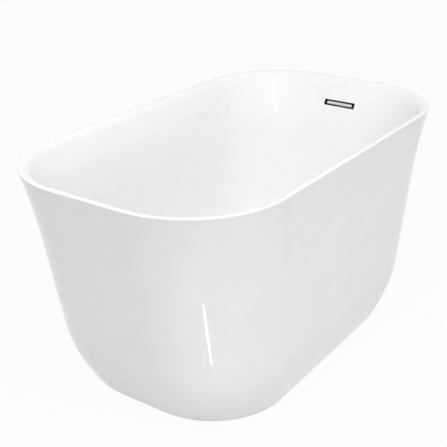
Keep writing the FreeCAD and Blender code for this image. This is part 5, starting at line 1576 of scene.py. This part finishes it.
def countersunk_bolt(name, rings, threads):
    """Bolt with its countersunk head down and a hexagon socket in it."""
    head, head_edge, shank, depth = 5 * MM, 0.2 * MM, 2.5 * MM, 2.5 * MM
    socket, socket_start, socket_length, socket_sides = 1.7 * MM, -1 * MM, 2.6 * MM, 6
    pitch, groove, runout, overlap = 0.8 * MM, 0.4 * MM, 0.8 * MM, 0.5 * MM
    low, high = islands("flange_bolts")[0]
    length = high.z - low.z
    neck = shank * 0.9
    outline = [(0.0, 0.0), (head, 0.0), (head, head_edge), (neck, depth), (0.0, depth)]
    top = turned(name + "_head", rings, Vector(), outline, easing=0.15 * MM, columns=HEAD_COLUMNS)
    key = upright_rod(name + "_socket", (0.0, 0.0, socket_start), socket, socket, socket_length, socket_sides)
    top = cut_away(top, [key])
    thread_length = length - depth + overlap
    thread = threaded_rod(name, threads, shank, thread_length, pitch, groove, runout)
    thread.data.transform(Matrix.Translation((0.0, 0.0, length - thread_length / 2)))
    return joined(name, [top, thread])


# Camera and light

SENSOR_WIDTH = 36.0
FARTHEST = 100.0
FLOOR_HALF = 14.0
FLOOR_FACES = 8
WHITE = (1.0, 1.0, 1.0, 1.0)

# Each lamp's two ends, the point that it faces, its width and power, and whether gloss shows it. The two
# windows gleam inside the far corner, and the floor strip on the near corner.
LAMPS = {
    "softbox": ((-2.95, 0.05, 3.3), (0.05, -2.65, 3.3), (0.1, 0.1, 0.4), 2.6, 79.0, False),
    "window_upper": ((-1.19, -1.5, 3.09), (-0.82, -1.225, 3.47), (0.52, 0.22, 0.57), 0.27, 3.0, True),
    "window_lower": ((-2.04, -1.69, 2.01), (-1.43, -1.68, 2.76), (0.49, 0.2, 0.51), 0.27, 5.0, True),
    "floor_strip": ((-0.594, -0.333, 0.002), (-0.763, -0.443, 0.002), (-0.68, -0.39, 1.0), 0.0175, 0.11,
                    True),
}


def place_camera(scene, studio):
    """Camera at the photograph's viewing angle, with the tub's middle at its place in the image."""
    data = bpy.data.cameras.new("camera")
    camera = bpy.data.objects.new("camera", data)
    scene.collection.objects.link(camera)
    azimuth, elevation = studio.azimuth, studio.elevation
    ahead = Vector((math.sin(azimuth) * math.cos(elevation), math.cos(azimuth) * math.cos(elevation),
                    -math.sin(elevation)))
    right = ahead.cross(Vector((0, 0, 1))).normalized()
    up = right.cross(ahead)
    centre = IMAGE_PIXELS / 2
    across = (studio.middle_u - centre) / studio.focal_pixels
    down = (studio.middle_v - centre) / studio.focal_pixels
    target = Vector((0.0, 0.0, scene.bathtub_sizes.height / 2))
    camera.location = target - (ahead + right * across - up * down) * studio.distance
    camera.rotation_euler = Matrix((right, up, -ahead)).transposed().to_euler()
    data.sensor_width = SENSOR_WIDTH
    data.lens = studio.focal_pixels / IMAGE_PIXELS * SENSOR_WIDTH
    data.clip_end = FARTHEST
    scene.camera = camera


def seen_share(tree):
    """1 for rays from the camera, directly or by way of gloss or glass, and otherwise 0."""
    rays = add_node(tree, "ShaderNodeLightPath").outputs
    seen = add_node(tree, MATH, (rays["Is Camera Ray"], rays["Is Glossy Ray"]), operation="MAXIMUM")
    return add_node(tree, MATH, (seen, rays["Is Transmission Ray"]), operation="MAXIMUM")


def lay_floor(paint, studio):
    """Seamless white floor: mostly its own white to the camera, with the tub's shadow kept."""
    shape = bmesh.new()
    bmesh.ops.create_grid(shape, x_segments=FLOOR_FACES, y_segments=FLOOR_FACES, size=FLOOR_HALF)
    floor = solid("floor", shape)
    if floor.data.polygons[0].normal.z < 0:
        floor.data.flip_normals()
    material, tree, shader, _ = new_material("Studio floor white vinyl", Base_Color=list(paint.floor),
                                             Roughness=0.8, Specular_IOR_Level=0.1)
    glow = add_node(tree, "ShaderNodeEmission", {"Color": WHITE, "Strength": 1.0})
    share = add_node(tree, MATH, (seen_share(tree), studio.floor_glow), operation="MULTIPLY")
    mix = add_node(tree, "ShaderNodeMixShader", (share, shader, glow))
    tree.links.new(mix.outputs["Shader"], tree.nodes["Material Output"].inputs["Surface"])
    floor.data.materials.append(material)


def lamp(scene, name, start, stop, aim, width, power, gleams):
    """Soft rectangular lamp between two ends that faces a point. The camera doesn't see it."""
    start, stop = Vector(start), Vector(stop)
    data = bpy.data.lights.new(name, "AREA")
    data.shape = "RECTANGLE"
    data.size, data.size_y = width, (stop - start).length
    data.energy = power
    piece = bpy.data.objects.new(name, data)
    scene.collection.objects.link(piece)
    centre, along = (start + stop) / 2, (stop - start).normalized()
    back = centre - Vector(aim)
    back = (back - along * back.dot(along)).normalized()
    piece.location = centre
    piece.rotation_euler = Matrix((along.cross(back), along, back)).transposed().to_euler()
    piece.visible_camera = False
    piece.visible_glossy = gleams


def light_studio(scene, studio):
    """White surroundings and soft lamps."""
    world = bpy.data.worlds.new("studio")
    scene.world = world
    world.use_nodes = True
    tree = world.node_tree
    strength = add_node(tree, MATH, (seen_share(tree), 1.0 - studio.sky, studio.sky),
                        operation="MULTIPLY_ADD")
    background = tree.nodes["Background"]
    background.inputs["Color"].default_value = WHITE
    tree.links.new(strength.outputs["Value"], background.inputs["Strength"])
    for name, (start, stop, aim, width, power, gleams) in LAMPS.items():
        lamp(scene, name, start, stop, aim, width, power * studio.lamp_share, gleams)


class BATHTUB_OT_stage(bpy.types.Operator):
    """Set up the floor, the light and the camera"""
    bl_idname = "bathtub.stage"
    bl_label = "Studio"

    def execute(self, context):
        scene, studio = context.scene, context.scene.bathtub_studio
        place_camera(scene, studio)
        lay_floor(scene.bathtub_finishes, studio)
        light_studio(scene, studio)
        scene.view_settings.view_transform = "Standard"
        return {"FINISHED"}


class BATHTUB_PT_panel(bpy.types.Panel):
    """Lists the tub's pieces"""
    bl_idname = "BATHTUB_PT_panel"
    bl_label = "Bathtub"
    bl_space_type = "VIEW_3D"
    bl_region_type = "UI"
    bl_category = "Bathtub"

    def draw(self, context):
        for operator in OPERATORS:
            self.layout.operator(operator.bl_idname)


OPERATORS = (BATHTUB_OT_shells, BATHTUB_OT_backing, BATHTUB_OT_overflow, BATHTUB_OT_hose, BATHTUB_OT_waste,
             BATHTUB_OT_plug, BATHTUB_OT_frame, BATHTUB_OT_feet, BATHTUB_OT_fasteners, BATHTUB_OT_stage)
GROUPS = {"bathtub_sizes": TubSizes, "bathtub_fittings": FittingSizes, "bathtub_finishes": Finishes,
          "bathtub_studio": StudioSettings}


def register():
    for group in GROUPS.values():
        bpy.utils.register_class(group)
    for name, group in GROUPS.items():
        setattr(bpy.types.Scene, name, PointerProperty(type=group))
    for operator in OPERATORS:
        bpy.utils.register_class(operator)
    bpy.utils.register_class(BATHTUB_PT_panel)


def unregister():
    bpy.utils.unregister_class(BATHTUB_PT_panel)
    for operator in reversed(OPERATORS):
        bpy.utils.unregister_class(operator)
    for name, group in GROUPS.items():
        delattr(bpy.types.Scene, name)
        bpy.utils.unregister_class(group)


def main():
    register()
    for node, piece in frame["nodes"].items():
        piece.data.materials.clear()
        piece.data.materials.append(material_for(SLOT_OF[node]))
    for operator in OPERATORS:
        group, name = operator.bl_idname.split(".")
        getattr(getattr(bpy.ops, group), name)()


if __name__ == "__main__":
    main()
